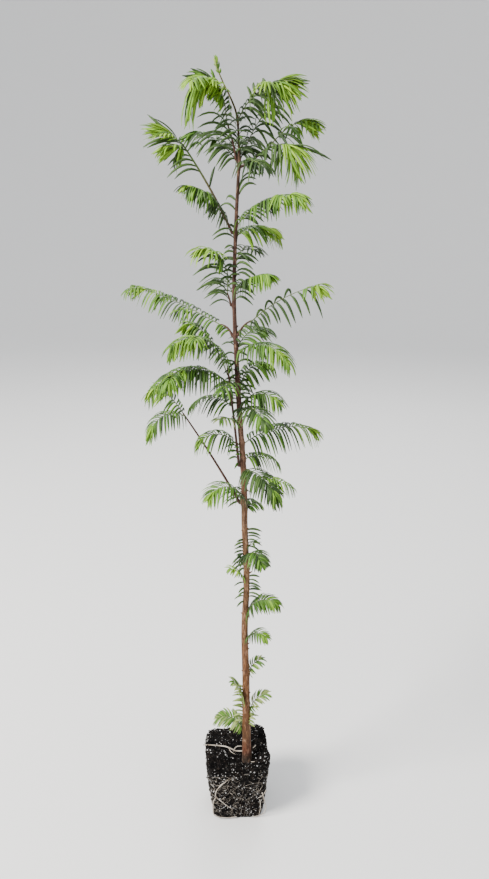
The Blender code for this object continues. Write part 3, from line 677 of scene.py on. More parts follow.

# the dark tint on the sprays' feet, on the trunk's loose needles and on the sprays at the back is partly
# painted shade
sprays = {
    # carrier, place on it, azimuth, length, elevation at foot and tip, needle length, pairs, droop,
    # tint of the foot, tint of the tip, share where it changes
    "upper_left": ("bough_upper_left", 1, 196, 0.052, 86, -104, 0.02, 10, 0.6, "dark", "light", 0.5),
    "upper_right": ("trunk", 0.627, -28, 0.05, 62, -8, 0.022, 9, 1.1, "dark", "light", 0.9),
    "right_fork": ("trunk", 0.6, 35, 0.055, 64, 44, 0.02, 8, 1.1, "dark", "dark", 1),
    "right_top": ("bough_right_crown", 1, 20, 0.041, 46, -8, 0.02, 3, 1.0, "dark", "bright", 0.6),
    "right_hanging": ("bough_right_crown", 0.9, -38, 0.033, 24, -36, 0.022, 6, 1.2, "dark", "light", 0.6),
    "front_top": ("trunk", 0.595, -62, 0.036, 18, -29, 0.019, 6, 1.2, "dark", "dark", 1),
    "left_dark": ("trunk", 0.597, 148, 0.045, 55, 10, 0.021, 13, 0.8, "dark", "mid", 0.7),
    "back_top": ("trunk", 0.602, 80, 0.04, 45, 0, 0.019, 10, 0.6, "dark", "dark", 1),
    "left_tuft": ("bough_left_crown", 1, 155, 0.026, 40, 22, 0.019, 4, 0.2, "bright", "light", 1),
    "left_low_tuft": ("bough_left_crown", 0.98, 205, 0.022, 4, -40, 0.018, 3, 0.2, "bright", "light", 0.4),
    "left_inner": ("bough_left_crown", 0.14, 198, 0.041, 70, 4, 0.02, 17, 1.5, "dark", "mid", 0.45),
    "right_upper": ("trunk", 0.553, -36, 0.061, 49, -12, 0.021, 19, 1.1, "mid", "bright", 0.62),
    "right_bright": ("trunk", 0.545, 32, 0.038, 38, -34, 0.02, 18, 1.0, "bright", "light", 0.6),
    "right_inner": ("trunk", 0.525, 60, 0.035, 60, -30, 0.02, 7, 0.5, "dark", "dark", 1),
    "left_middle": ("bough_left_middle", 1, 190, 0.047, 98, -14, 0.02, 8, 0.7, "dark", "light", 0.2),
    "right_middle": ("trunk", 0.503, -38, 0.035, 49, -2, 0.018, 16, 0.9, "mid", "bright", 0.5),
    "back_middle": ("trunk", 0.5, 112, 0.042, 45, -20, 0.02, 8, 0.6, "dark", "dark", 1),
    "right_long": ("bough_right_long", 1, -32, 0.064, 41, 14, 0.015, 5, 0.9, "mid", "light", 0.5),
    "left_long": ("bough_left_long", 1, 150, 0.091, 22, 8, 0.019, 22, 0.9, "mid", "bright", 0.55),
    "left_second": ("bough_left_upright", 0.93, 165, 0.054, 70, 14, 0.017, 9, 1.2, "mid", "light", 1),
    "right_lower": ("trunk", 0.454, -35, 0.052, 45, -50, 0.02, 19, 0.8, "mid", "bright", 0.5),
    "right_back": ("trunk", 0.459, 50, 0.044, 50, -24, 0.02, 13, 0.5, "mid", "mid", 1),
    "front_middle": ("trunk", 0.428, -112, 0.03, 32, -25, 0.017, 7, 0.7, "mid", "mid", 1),
    "left_dome": ("bough_left_upright", 1, 208, 0.063, 82, -38, 0.02, 23, 1.0, "mid", "bright", 0.5),
    "left_wide": ("bough_left_upright", 0.84, 206, 0.074, 50, -50, 0.023, 28, 1.1, "mid", "bright", 0.75),
    "left_arch": ("bough_left_upright", 0.62, 150, 0.044, 35, -50, 0.019, 16, 1.0, "mid", "mid", 1),
    "left_small": ("bough_left_upright", 0.48, 240, 0.02, 31, 0, 0.014, 6, 0.6, "pale", "pale", 1),
    "left_low": ("bough_left_upright", 0.24, 180, 0.034, 54, -50, 0.02, 13, 0.9, "mid", "bright", 0.6),
    "left_end": ("bough_left_slanting", 1, 165, 0.028, 58, 33, 0.017, 9, 0.6, "mid", "light", 0.5),
    "left_curl": ("bough_left_slanting", 0.97, 215, 0.04, 38, -70, 0.018, 14, 0.9, "mid", "bright", 0.6),
    "right_slim": ("trunk", 0.426, 32, 0.04, 84, -34, 0.019, 15, 1.0, "mid", "bright", 0.5),
    "right_flat": ("trunk", 0.41, -24, 0.037, 66, -36, 0.02, 15, 0.9, "mid", "bright", 0.7),
    "right_front": ("trunk", 0.407, -62, 0.044, 34, -38, 0.018, 15, 0.8, "dark", "mid", 0.6),
    "back_low": ("trunk", 0.413, 105, 0.044, 48, -25, 0.02, 11, 0.7, "dark", "dark", 1),
    "right_wide": ("trunk", 0.378, 16, 0.065, 34, -22, 0.024, 20, 1.0, "mid", "bright", 0.6),
    "right_small": ("trunk", 0.364, 24, 0.034, 22, -52, 0.0165, 15, 1.0, "mid", "bright", 0.3),
    "front_low": ("trunk", 0.355, -50, 0.04, 14, -48, 0.021, 18, 0.9, "dark", "bright", 0.85),
    "left_base": ("trunk", 0.327, 208, 0.038, 86, -46, 0.02, 14, 0.7, "mid", "bright", 0.6),
    "back_base": ("trunk", 0.322, 108, 0.034, 40, -30, 0.018, 8, 0.7, "dark", "dark", 1),
    "right_base": ("trunk", 0.318, 38, 0.018, 56, -60, 0.01, 11, 0.7, "mid", "bright", 0.5),
    "stem_1": ("trunk", 0.284, -20, 0.009, 50, 10, 0.0095, 2, 0.2, "dark", "dark", 1),
    "stem_2": ("trunk", 0.272, -58, 0.029, 84, -60, 0.015, 15, 0.8, "dark", "mid", 0.3),
    "stem_3": ("trunk", 0.251, 200, 0.018, 84, 15, 0.01, 8, 0.4, "bright", "light", 0.5),
    "stem_4": ("trunk", 0.214, -10, 0.038, 98, -38, 0.015, 22, 0.6, "mid", "bright", 0.6),
    "stem_5": ("trunk", 0.19, -28, 0.024, 88, -38, 0.012, 11, 0.5, "mid", "bright", 0.6),
    "stem_6": ("trunk", 0.152, 22, 0.019, 94, -3, 0.01, 8, 0.3, "pale", "pale", 1),
    "stem_7": ("trunk", 0.122, 190, 0.024, 94, 50, 0.013, 12, 0.3, "pale", "pale", 1),
    "stem_8": ("trunk", 0.108, 12, 0.027, 100, 6, 0.012, 10, 0.3, "pale", "pale", 1),
    "stem_9": ("trunk", 0.091, 172, 0.03, 80, -40, 0.0138, 19, 0.3, "pale", "pale", 1),
}
lateBend = {"upper_left": 2.2, "right_top": 2.0, "left_second": 2.0, "left_long": 2.0, "left_middle": 1.6}
leafyPart = {
    # the part of the stem that carries pairs, where a brush of needles takes over from them
    "left_second": (0.60, 0.99), "upper_left": (0.06, 0.62), "upper_right": (0.06, 0.78),
    "right_top": (0.06, 0.60), "right_hanging": (0.06, 0.60), "left_tuft": (0.06, 0.50),
    "left_low_tuft": (0.06, 0.50), "left_middle": (0.55, 0.99), "right_long": (0.84, 0.99),
}
sideTwigs = {
    # how many, over which share of the stem, their length, the side of the first
    "upper_left": (3, 0.38, 0.72, 0.016, 1), "upper_right": (2, 0.58, 0.82, 0.013, -1),
    "right_top": (2, 0.5, 0.74, 0.013, 1), "left_tuft": (1, 0.3, 0.3, 0.014, 1),
    "left_low_tuft": (1, 0.35, 0.35, 0.012, -1), "left_inner": (1, 0.5, 0.5, 0.014, 1),
    "right_upper": (1, 0.7, 0.7, 0.014, -1), "left_middle": (1, 0.66, 0.66, 0.012, 1),
    "right_long": (1, 0.85, 0.85, 0.012, 1), "left_long": (3, 0.3, 0.9, 0.014, 1),
    "left_wide": (2, 0.35, 0.65, 0.015, -1), "left_dome": (1, 0.6, 0.6, 0.014, 1),
    "right_wide": (1, 0.5, 0.5, 0.013, 1), "front_low": (1, 0.55, 0.55, 0.028, 1),
}
leader = {
    "azimuth": 205, "length": 0.008, "needle": 0.0062, "pairs": 3, "droop": -0.1, "bend": 12,
    "tints": ("pale", "light"), "change": 0.6, "leafyPart": (0.05, 0.99), "girth": 0.9, "seed": 90,
    "lastRun": 0.004,  # it goes on the way that this last part of the trunk goes
}
twig = {
    "half": 0.00048,  # half the width of a spray's stem at its foot
    "tip": 0.45,  # its width at the tip, as a share of that
    "steps": 24,
    "footFlare": 1.15,
    "point": 0.0012,  # length of the point past the last pair
    "pointShare": 0.3,  # its width at the end, as a share of the tip's
    "gap": 0.0004,  # from a bough's bark to a stem's first pair
    "trunkGap": 0.0003,
    "leafyPart": (0.06, 0.99),
}
sideTwig = {
    "needle": 0.66,  # its needles, as a share of the stem's
    "spacing": 0.0030,
    "shift": 0.02,
    "turn": (42, 62),  # degrees from the stem
    "lift": (0, 14),
    "sizes": (0.85, 1.15),
    "fall": 35,
    "leafyPart": (0.15, 0.99),
    "girth": 0.75,
}
brush = {
    "turn": 2.399963,  # radians from one needle to the next
    "turnShift": 0.4,
    "rootShift": (-0.06, 0.02),
    "rootSpread": 0.0006,
    "sizes": (0.82, 1.10),
    "middleSize": 1.05,
    "rimLoss": 0.15,
    "hangs": (0.7, 1.3),
    "roll": 25,
}


def growSpray(limb, length, pairs, droop, tintPair, change, leafy, girth, seed, root=None):
    # a stem with its pairs of needles, by the seeded rule
    dice = random.Random(seed)
    pairs = round(pairs * needle["finer"])
    for k in range(pairs):
        place = k / max(pairs - 1, 1)
        share = leafy[0] + (leafy[1] - leafy[0]) * (1.0 - (1.0 - place) ** needle["crowding"])
        tint = tintPair[0] if place < change else tintPair[1]
        swellAt = min(1.0, needle["swellFrom"] + needle["swellOver"] * place)
        swell = needle["footSize"] + needle["swell"] * math.sin(math.pi * swellAt)
        pastMiddle = max(0.0, place - needle["tipFrom"]) / (1 - needle["tipFrom"])
        swell *= 1.0 - needle["tipLoss"][tint] * pastMiddle
        closed = place ** needle["closing"]
        angle = needle["firstAngle"] + (needle["lastAngle"] - needle["firstAngle"]) * closed
        for side in (1, -1):
            if dice.random() < needle["missing"]:
                continue
            spot = share + dice.uniform(-needle["shift"], needle["shift"]) / pairs
            size = length * swell * dice.uniform(*needle["sizes"])
            turn = math.radians(angle + dice.uniform(-needle["sway"], needle["sway"]))
            along = limb.direction(spot)
            across = limb.side() * side
            steep = max(0.0, abs(along.z) - needle["steepFrom"]) / (1 - needle["steepFrom"])
            near = steep + (1 - steep) * (0.5 - 0.5 * across.y)
            hang = needle["farHang"] + (needle["nearHang"] - needle["farHang"]) * near
            hang *= droop * dice.uniform(*needle["hangs"]) * (1.0 + needle["tipHang"][tint] * place)
            shade = shadeOf(tint, dice, needle["shaded"])
            out = along * math.cos(turn) + across * math.sin(turn)
            face = along.cross(limb.side())
            roll = dice.uniform(-needle["roll"], needle["roll"])
            growNeedle(shade, limb.at(spot), out, face, size, hang, roll, dice.random())
    steps = twig["steps"]
    points = [limb.at(k / steps) for k in range(steps + 1)]
    halves = [twig["half"] * girth * (1 - (1 - twig["tip"]) * k / steps) for k in range(steps + 1)]
    if root is not None:
        points.insert(0, root)
        halves.insert(0, halves[0] * twig["footFlare"])
    points.append(points[-1] + limb.direction(1.0) * twig["point"])
    halves.append(halves[-1] * twig["pointShare"])
    twigLines.add(points, halves)


def growTuft(limb, share, azimuth, rise, wide, tall, count, length, droop, tint, seed):
    # a brush of needles round one way, like a shoot that has just opened
    dice = random.Random(seed)
    axis = heading(azimuth, rise)
    across = heading(azimuth + 90, 0)
    over = axis.cross(across)
    for k in range(count):
        reach = math.sqrt((k + 0.5) / count)
        turn = k * brush["turn"] + dice.uniform(-brush["turnShift"], brush["turnShift"])
        shift = across * (math.tan(math.radians(wide)) * reach * math.cos(turn))
        shift += over * (math.tan(math.radians(tall)) * reach * math.sin(turn))
        out = (axis + shift).normalized()
        face = (shift - out * shift.dot(out)).normalized()
        if face.z < 0:
            face = -face
        root = limb.at(share + dice.uniform(*brush["rootShift"])) + shift * brush["rootSpread"]
        size = length * dice.uniform(*brush["sizes"]) * (brush["middleSize"] - brush["rimLoss"] * reach)
        shade = shadeOf(tint, dice, needle["shaded"] / 2)
        hang = droop * dice.uniform(*brush["hangs"])
        roll = dice.uniform(-brush["roll"], brush["roll"])
        growNeedle(shade, root, out, face, size, hang, roll, dice.random())


def growSideTwigs(limb, row, length, droop, tint, seed):
    dice = random.Random(seed * 7 + 3)
    count, first, last, size, turn = row
    for k in range(count):
        share = first + (last - first) * k / max(count - 1, 1)
        share += dice.uniform(-sideTwig["shift"], sideTwig["shift"])
        side = turn if k % 2 == 0 else -turn
        azimuth = limb.azimuth + side * dice.uniform(*sideTwig["turn"])
        rise = 0.5 * limb.elevation(share) + dice.uniform(*sideTwig["lift"])
        reach = size * dice.uniform(*sideTwig["sizes"])
        shoot = Limb(limb.at(share), azimuth, reach, rise, rise - sideTwig["fall"], steps=12)
        pairs = max(3, round(reach / sideTwig["spacing"]))
        growSpray(shoot, length * sideTwig["needle"], pairs, droop, (tint, tint), 1, sideTwig["leafyPart"],
                  sideTwig["girth"], seed + 31 * (k + 1))


def startOnTrunk(height, azimuth, rise, half):
    # the steeper a stem rises, the further its foot is from the bark
    reach = trunkRadius(height) + twig["trunkGap"] + half * (0.2 + abs(math.sin(math.radians(rise))))
    return trunkCentre(height) + heading(azimuth, 0) * reach


def footOf(carrier, place, azimuth, rise):
    # where a spray starts, and where its stem is rooted in what carries it
    if carrier == "trunk":
        return startOnTrunk(place, azimuth, rise, twig["half"] / 2), insideTrunk(place, azimuth, 0.5)
    thick, thin = boughs[carrier][5:]
    bough = boughLimbs[carrier]
    along = bough.direction(place)
    root = bough.at(place)
    if place == 1:
        return root + along * twig["gap"], bough.at(0.97)
    out = heading(azimuth, rise)
    out = (out - along * out.dot(along)).normalized()
    return root + out * ((thick + (thin - thick) * place) / 2 + twig["gap"]), root


boughLimbs = {}
for name, (height, azimuth, length, rise, fall, thick, thin) in boughs.items():
    boughLimbs[name] = Limb(startOnTrunk(height, azimuth, rise, thick / 2), azimuth, length, rise, fall)

sprayLimbs = {}
for seed, (name, row) in enumerate(sprays.items(), 1):
    carrier, place, azimuth, length, rise, fall, size, pairs, droop, footTint, tipTint, change = row
    start, root = footOf(carrier, place, azimuth, rise)
    limb = Limb(start, azimuth, length, rise, fall, lateBend.get(name, 1.0))
    sprayLimbs[name] = limb
    leafy = leafyPart.get(name, twig["leafyPart"])
    growSpray(limb, size, pairs, droop, (footTint, tipTint), change, leafy, 1.0, seed, root)
    if name in sideTwigs:
        growSideTwigs(limb, sideTwigs[name], size, droop, tipTint, seed)

topHeight = trunk["line"][-1][0]
top = trunkCentre(topHeight)
lastRun = (top - trunkCentre(topHeight - leader["lastRun"])).normalized()
rise = math.degrees(math.asin(lastRun.z))
sprayLimbs["leader"] = Limb(top, leader["azimuth"], leader["length"], rise, rise + leader["bend"], steps=8)
growSpray(sprayLimbs["leader"], leader["needle"], leader["pairs"], leader["droop"], leader["tints"],
          leader["change"], leader["leafyPart"], leader["girth"], leader["seed"])
print("sprays grown:", sum(len(lines.edges) for lines in needleLines.values()) // 6, "needles")

# Brushes of needles on the sprays' stems

tufts = (
    # stem; then place on it, azimuth, rise, half the spread across and up, how many, length, droop, tint
    ("upper_left", (
        (0.58, 182, 22, 8, 22, 11, 0.0175, 0.02, "mid"), (0.62, 182, 8, 6, 12, 5, 0.02, 0.04, "dark"),
        (0.54, 180, 70, 6, 14, 4, 0.01, 0.0, "mid"), (0.62, 188, 0, 12, 10, 5, 0.0165, 0.12, "bright"),
        (0.42, 200, -10, 70, 60, 22, 0.0095, 0.3, "light"),
        (0.46, 210, -40, 40, 30, 10, 0.0125, 0.2, "bright"),
        (0.56, 215, -40, 30, 20, 9, 0.014, 0.2, "light"), (0.34, 190, -70, 40, 12, 7, 0.009, 0.2, "bright"),
        (0.78, 198, -74, 9, 8, 13, 0.0345, 0.0, "bright"),
        (0.68, 196, -66, 14, 12, 12, 0.0245, 0.05, "light"),
        (0.7, 196, -70, 12, 12, 6, 0.023, 0.08, "light"), (0.8, 190, -50, 10, 10, 3, 0.023, 0.25, "dark"))),
    ("upper_right", (
        (0.78, -15, -22, 14, 38, 26, 0.0235, 0.1, "bright"),
        (0.76, -15, -28, 12, 30, 20, 0.0215, 0.12, "light"), (0.8, -15, 0, 7, 7, 5, 0.0235, 0.1, "dark"),
        (0.76, -15, -56, 10, 14, 9, 0.029, 0.05, "light"),
        (0.68, -20, -84, 12, 14, 5, 0.029, 0.05, "bright"))),
    ("right_top", (
        (0.72, -18, -16, 14, 30, 14, 0.0205, 0.12, "bright"),
        (0.76, -22, -24, 14, 26, 24, 0.02, 0.12, "light"), (0.66, 5, 12, 10, 8, 3, 0.022, 0.3, "dark"),
        (0.28, -10, 14, 14, 10, 3, 0.023, 0.75, "dark"))),
    ("right_hanging", (
        (0.56, -20, -60, 14, 42, 20, 0.0295, 0.06, "bright"),
        (0.6, -20, -52, 12, 34, 16, 0.0285, 0.08, "light"), (0.4, 200, -76, 12, 14, 6, 0.025, 0.1, "dark"),
        (0.7, -8, -12, 6, 6, 3, 0.028, 0.12, "dark"))),
    ("left_tuft", (
        (0.28, 176, 18, 9, 20, 14, 0.0268, 0.08, "bright"),
        (0.3, 180, 18, 9, 18, 19, 0.0255, 0.05, "light"), (0.24, 174, 40, 3, 3, 2, 0.03, 0.04, "dark"),
        (0.18, 186, 8, 8, 7, 3, 0.029, 0.3, "dark"))),
    ("left_low_tuft", (
        (0.14, 190, -35, 6, 6, 12, 0.0215, 0.02, "light"), (0.1, 186, -10, 10, 12, 7, 0.021, 0.15, "light"),
        (0.04, 215, -78, 14, 14, 8, 0.016, 0.1, "bright"), (0.05, 195, -66, 8, 12, 4, 0.02, 0.2, "dark"))),
    ("left_dark", ((0.98, 182, -14, 12, 12, 4, 0.0155, 0.15, "bright"),)),
    ("left_inner", (
        (0.86, 190, -66, 30, 16, 9, 0.0115, 0.2, "bright"), (0.95, 182, -10, 18, 22, 5, 0.01, 0.4, "light"))),
    ("right_upper", ((0.94, -30, -30, 24, 20, 8, 0.016, 0.3, "light"),)),
    ("left_middle", (
        (0.86, 190, -16, 24, 20, 9, 0.014, 0.3, "light"), (0.6, 200, -72, 40, 16, 9, 0.0125, 0.2, "bright"))),
    ("right_long", ((0.95, -26, -30, 14, 24, 11, 0.0155, 0.12, "light"),)),
    ("left_long", (
        (0.92, 172, -30, 20, 22, 10, 0.0145, 0.15, "light"),
        (0.72, 190, -72, 18, 14, 7, 0.014, 0.1, "bright"))),
    ("left_second", ((0.9, 190, -50, 22, 20, 8, 0.013, 0.2, "bright"),)),
    ("left_dome", (
        (0.8, 200, -72, 30, 14, 8, 0.016, 0.2, "light"), (0.62, 220, -60, 30, 16, 7, 0.016, 0.3, "bright"))),
    ("left_wide", ((0.96, 200, -50, 22, 16, 7, 0.014, 0.2, "light"),)),
    ("left_curl", ((0.9, 205, -60, 22, 16, 6, 0.014, 0.2, "bright"),)),
    ("left_end", ((0.9, 168, 20, 18, 22, 6, 0.013, 0.3, "bright"),)),
    ("left_base", ((0.9, 205, -40, 20, 18, 5, 0.013, 0.25, "bright"),)),
    ("left_low", ((0.9, 185, -50, 20, 18, 5, 0.013, 0.25, "bright"),)),
    ("right_lower", ((0.78, -20, -48, 24, 18, 10, 0.018, 0.25, "light"),)),
    ("right_bright", (
        (0.8, 12, -22, 22, 20, 9, 0.0155, 0.25, "light"), (0.4, 8, -14, 18, 18, 13, 0.02, 0.3, "bright"))),
    ("right_wide", ((0.92, 5, -34, 24, 18, 9, 0.0165, 0.3, "light"),)),
    ("right_middle", ((0.9, -20, -10, 20, 20, 6, 0.014, 0.3, "bright"),)),
    ("right_flat", ((0.9, -10, -32, 20, 18, 6, 0.014, 0.3, "bright"),)),
    ("right_front", ((0.9, -50, -50, 26, 18, 6, 0.014, 0.3, "mid"),)),
    ("front_low", (
        (0.88, -60, -62, 26, 16, 9, 0.0175, 0.2, "mid"), (0.96, -50, -66, 16, 12, 5, 0.019, 0.1, "dark"))),
    ("stem_2", (
        (0.6, -60, -60, 34, 20, 6, 0.011, 0.2, "bright"), (0.92, -20, -16, 30, 22, 8, 0.01, 0.4, "mid"))),
    ("stem_4", ((0.85, -5, -30, 24, 18, 6, 0.011, 0.25, "bright"),)),
    ("front_top", ((0.2, -30, 14, 50, 30, 6, 0.017, 1.1, "dark"),)),
    ("right_fork", ((0.08, -15, 30, 50, 30, 5, 0.019, 1.0, "dark"),)),
    ("left_dark", ((0.6, 200, -40, 50, 20, 7, 0.011, 0.6, "mid"),)),
    ("left_inner", (
        (0.4, 200, -60, 50, 24, 10, 0.014, 0.4, "dark"), (0.62, 200, -50, 40, 24, 8, 0.013, 0.4, "mid"))),
    ("right_upper", (
        (0.5, -60, -50, 50, 24, 9, 0.015, 0.5, "dark"), (0.86, -30, -10, 20, 24, 8, 0.017, 0.3, "bright"))),
    ("left_second", ((0.95, 190, -20, 30, 20, 9, 0.014, 0.3, "light"),)),
    ("left_dome", ((0.9, 210, -60, 24, 16, 8, 0.017, 0.2, "bright"),)),
    ("left_wide", (
        (0.8, 215, -60, 40, 16, 9, 0.018, 0.2, "mid"), (0.36, 215, -40, 55, 20, 12, 0.0135, 0.3, "mid"),
        (0.56, 215, -40, 55, 20, 12, 0.014, 0.3, "bright"))),
    ("right_lower", ((0.5, -50, -40, 50, 24, 8, 0.015, 0.4, "mid"),)),
    ("right_back", ((0.6, -20, -20, 40, 24, 7, 0.015, 0.5, "mid"),)),
    ("right_slim", ((0.7, -30, -30, 40, 24, 7, 0.015, 0.5, "mid"),)),
    ("right_flat", ((0.5, -50, -40, 50, 24, 8, 0.015, 0.5, "dark"),)),
    ("front_low", ((0.5, -80, -40, 60, 24, 9, 0.016, 0.4, "mid"),)),
    ("stem_4", ((0.45, -40, -30, 50, 30, 7, 0.011, 0.4, "mid"),)),
    ("stem_2", ((0.12, 215, 20, 30, 22, 6, 0.014, 0.8, "dark"),)),
    ("leader", (
        (0.1, 194, 70, 6, 7, 4, 0.0092, 0.0, "pale"), (0.55, 200, 74, 6, 7, 4, 0.0074, 0.0, "pale"))),
)
seed = 300
for carrier, rows in tufts:
    for row in rows:
        growTuft(sprayLimbs[carrier], *row, seed)
        seed += 1

# Needles straight on the trunk, the boughs and some stems

looseNeedles = (
    # carrier; then first and last place, how many, azimuth, spread of it, rise, length, droop, tint
    ("trunk", (
        (0.299, 0.2835, 6, -15, 16, 16, 0.0122, 0.36, "dark"),
        (0.29, 0.276, 6, 200, 20, 12, 0.008, 0.3, "dark"),
        (0.254, 0.234, 7, -18, 22, 16, 0.0115, 0.38, "dark"),
        (0.248, 0.23, 5, 202, 20, -5, 0.0085, 0.3, "dark"),
        (0.376, 0.367, 4, 205, 30, 30, 0.009, 0.3, "mid"),
        (0.464, 0.4, 12, -25, 55, 35, 0.012, 0.6, "dark"), (0.46, 0.405, 9, 200, 45, 35, 0.01, 0.6, "dark"),
        (0.53, 0.496, 9, -18, 30, 35, 0.0165, 0.75, "dark"),
        (0.547, 0.543, 2, 192, 12, 35, 0.0165, 0.6, "dark"),
        (0.536, 0.513, 6, 195, 25, 30, 0.0095, 0.6, "dark"),
        (0.58, 0.574, 3, -10, 25, 55, 0.018, 0.55, "dark"),
        (0.625, 0.602, 9, -60, 120, 40, 0.013, 0.55, "dark"),
        (0.625, 0.602, 8, 200, 45, 38, 0.019, 0.65, "dark"),
        (0.114, 0.104, 3, -20, 30, 30, 0.009, 0.4, "pale"),
        (0.276, 0.262, 5, 205, 20, 25, 0.0125, 0.8, "dark"),
        (0.138, 0.118, 7, 195, 25, 20, 0.01, 0.3, "pale"), (0.114, 0.1, 5, 190, 25, 25, 0.011, 0.4, "pale"),
        (0.107, 0.099, 4, -30, 30, 30, 0.0075, 0.4, "pale"),
        (0.35, 0.33, 4, 100, 50, 35, 0.012, 0.5, "dark"), (0.57, 0.55, 4, 95, 60, 40, 0.014, 0.6, "dark"))),
    ("bough_upper_left", (
        (0.22, 0.95, 5, 188, 10, 34, 0.026, 0.5, "dark"), (0.2, 0.9, 4, -10, 30, 35, 0.011, 0.4, "dark"))),
    ("bough_left_crown", (
        (0.68, 0.98, 6, 190, 14, 20, 0.021, 0.62, "dark"), (0.5, 0.52, 1, 30, 5, 78, 0.017, 0.02, "dark"),
        (0.92, 0.99, 3, 60, 25, 50, 0.018, 0.6, "mid"))),
    ("bough_left_middle", ((0.1, 0.8, 3, 190, 12, 36, 0.019, 0.6, "dark"),)),
    ("left_middle", (
        (0.03, 0.56, 7, 190, 12, 34, 0.024, 0.62, "dark"), (0.1, 0.5, 4, -20, 20, 45, 0.01, 0.5, "dark"))),
    ("bough_left_long", ((0.3, 0.95, 4, 200, 30, 5, 0.009, 0.9, "mid"),)),
    ("bough_right_long", ((0.2, 0.95, 4, -60, 40, 20, 0.011, 0.8, "dark"),)),
    ("bough_right_crown", (
        (0.15, 0.9, 5, -60, 30, 25, 0.015, 0.7, "dark"), (0.2, 0.9, 4, 60, 30, 45, 0.015, 0.6, "dark"))),
    ("bough_left_upright", (
        (0.02, 0.2, 4, 225, 40, 30, 0.009, 0.5, "mid"), (0.88, 0.99, 3, 60, 50, 40, 0.01, 0.6, "dark"))),
    ("upper_right", (
        (0.34, 0.62, 5, 120, 30, 62, 0.008, 0.1, "dark"), (0.14, 0.66, 7, -20, 20, 22, 0.0215, 0.8, "dark"))),
    ("right_fork", ((0.12, 0.8, 7, -15, 22, 24, 0.0215, 0.8, "dark"),)),
    ("front_top", ((0.1, 0.7, 5, -20, 30, 15, 0.019, 0.8, "dark"),)),
    ("right_long", (
        (0.02, 0.32, 6, -35, 14, -26, 0.014, 0.8, "dark"), (0.4, 0.82, 5, -28, 6, -24, 0.0225, 0.9, "dark"),
        (0.06, 0.52, 4, 30, 20, 66, 0.0082, 0.9, "dark"))),
)
looseNeedle = {
    "lift": 8,
    "sizes": (0.85, 1.15),
    "stemRadius": 0.0005,
    "sunk": 0.7,
    "roll": (10, 50),
    "rollFrom": 0.27,  # above this height they are turned further, by rollGrowth degrees a metre
    "rollGrowth": 75,
    "seed": 5,
}


def growLoose(carrier, first, last, count, azimuth, spread, rise, length, droop, tint):
    for k in range(count):
        place = first + (last - first) * k / max(count - 1, 1)
        if carrier == "trunk":
            root = trunkCentre(place)
            radius = trunkRadius(place)
        else:
            root = (boughLimbs.get(carrier) or sprayLimbs[carrier]).at(place)
            radius = looseNeedle["stemRadius"]
        way = azimuth + dice.uniform(-spread, spread)
        out = heading(way, rise + dice.uniform(-looseNeedle["lift"], looseNeedle["lift"]))
        level = Vector((out.x, out.y, 0)).normalized()
        face = (up - out * out.z).normalized()
        size = length * dice.uniform(*looseNeedle["sizes"])
        further = looseNeedle["rollGrowth"] * max(0.0, root.z - looseNeedle["rollFrom"])
        roll = math.copysign(dice.uniform(*looseNeedle["roll"]) + further, out.x)
        foot = root + level * radius * looseNeedle["sunk"]
        growNeedle(tint, foot, out, face, size, droop, roll, dice.random())


dice = random.Random(looseNeedle["seed"])
for carrier, rows in looseNeedles:
    for row in rows:
        growLoose(carrier, *row)

standsFor = {tint: [] for tint in tints}
for name, row in sprays.items():
    standsFor[row[10]].append("foliage_" + name)
standsFor["light"].append("foliage_leader")
for tint, lines in needleLines.items():
    piece = runTree("needles_" + tint, lines.mesh(), needleTree, {
        "Width": needle["width"], "Thickness": needle["thickness"], "Material": needlePaint[tint]})
    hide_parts(*standsFor[tint])
    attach(piece, "root")
    print("needles", tint, len(piece.data.polygons), "faces")

twigs = runTree("twigs", twigLines.mesh(), twigTree, {"Sides": 7, "Material": twigPaint})
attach(twigs, "root")
print("twigs made")

# Bark of the trunk and the boughs

furrows = {
    "reference": (0.31, 0.95, 0.05),  # the way that a section's first point faces
    "round": 3.0,  # how fast the noise changes round a limb, and along it
    "along": 75,
    "coarse": (1.6, 0.6),  # scale and share of the coarse furrows
    "fine": (3, 2.2, 0.4),  # scales round and along, and share, of the fine ones
}


def joinRings(work, rings):
    # faces between each ring and the next, and a cap at each end
    sides = len(rings[0])
    for low, high in zip(rings[:-1], rings[1:]):
        for s in range(sides):
            work.faces.new((low[s], low[(s + 1) % sides], high[(s + 1) % sides], high[s]))
    work.faces.new(rings[0][::-1])
    work.faces.new(rings[-1])


def smoothPiece(name, work, paint):
    bmesh.ops.recalc_face_normals(work, faces=work.faces[:])
    mesh = bpy.data.meshes.new(name)
    work.to_mesh(mesh)
    work.free()
    mesh.materials.append(paint)
    mesh.shade_smooth()
    return linkObject(name, mesh)


def furrowAt(way, travelled):
    at = Vector((way.x * furrows["round"], way.y * furrows["round"], travelled * furrows["along"]))
    scale, share = furrows["coarse"]
    coarse = noise.noise(at * scale) * share
    flat, tall, share = furrows["fine"]
    return coarse + noise.noise(Vector((at.x * flat, at.y * flat, at.z * tall))) * share


def barkTube(work, centres, radii, sides, relief, lobes=None, tones=None):
    # rings of points with furrows that run along the limb
    rings = []
    tone = work.verts.layers.float.get("tone") or work.verts.layers.float.new("tone")
    reference = Vector(furrows["reference"]).normalized()
    last = len(centres) - 1
    travelled = 0.0
    for k, centre in enumerate(centres):
        ahead = (centres[min(k + 1, last)] - centres[max(k - 1, 0)]).normalized()
        across = (reference - ahead * reference.dot(ahead)).normalized()
        other = ahead.cross(across)
        if k:
            travelled += (centre - centres[k - 1]).length
        ring = []
        for s in range(sides):
            turn = 2 * math.pi * s / sides
            way = across * math.cos(turn) + other * math.sin(turn)
            radius = radii[k] * (lobes(k, turn, centre, way) if lobes else 1.0)
            reach = radius + relief * furrowAt(way, travelled) * radii[k] / radii[0]
            ring.append(work.verts.new(centre + way * reach))
            ring[-1][tone] = tones[k] if tones else 0.0
        rings.append(ring)
    joinRings(work, rings)


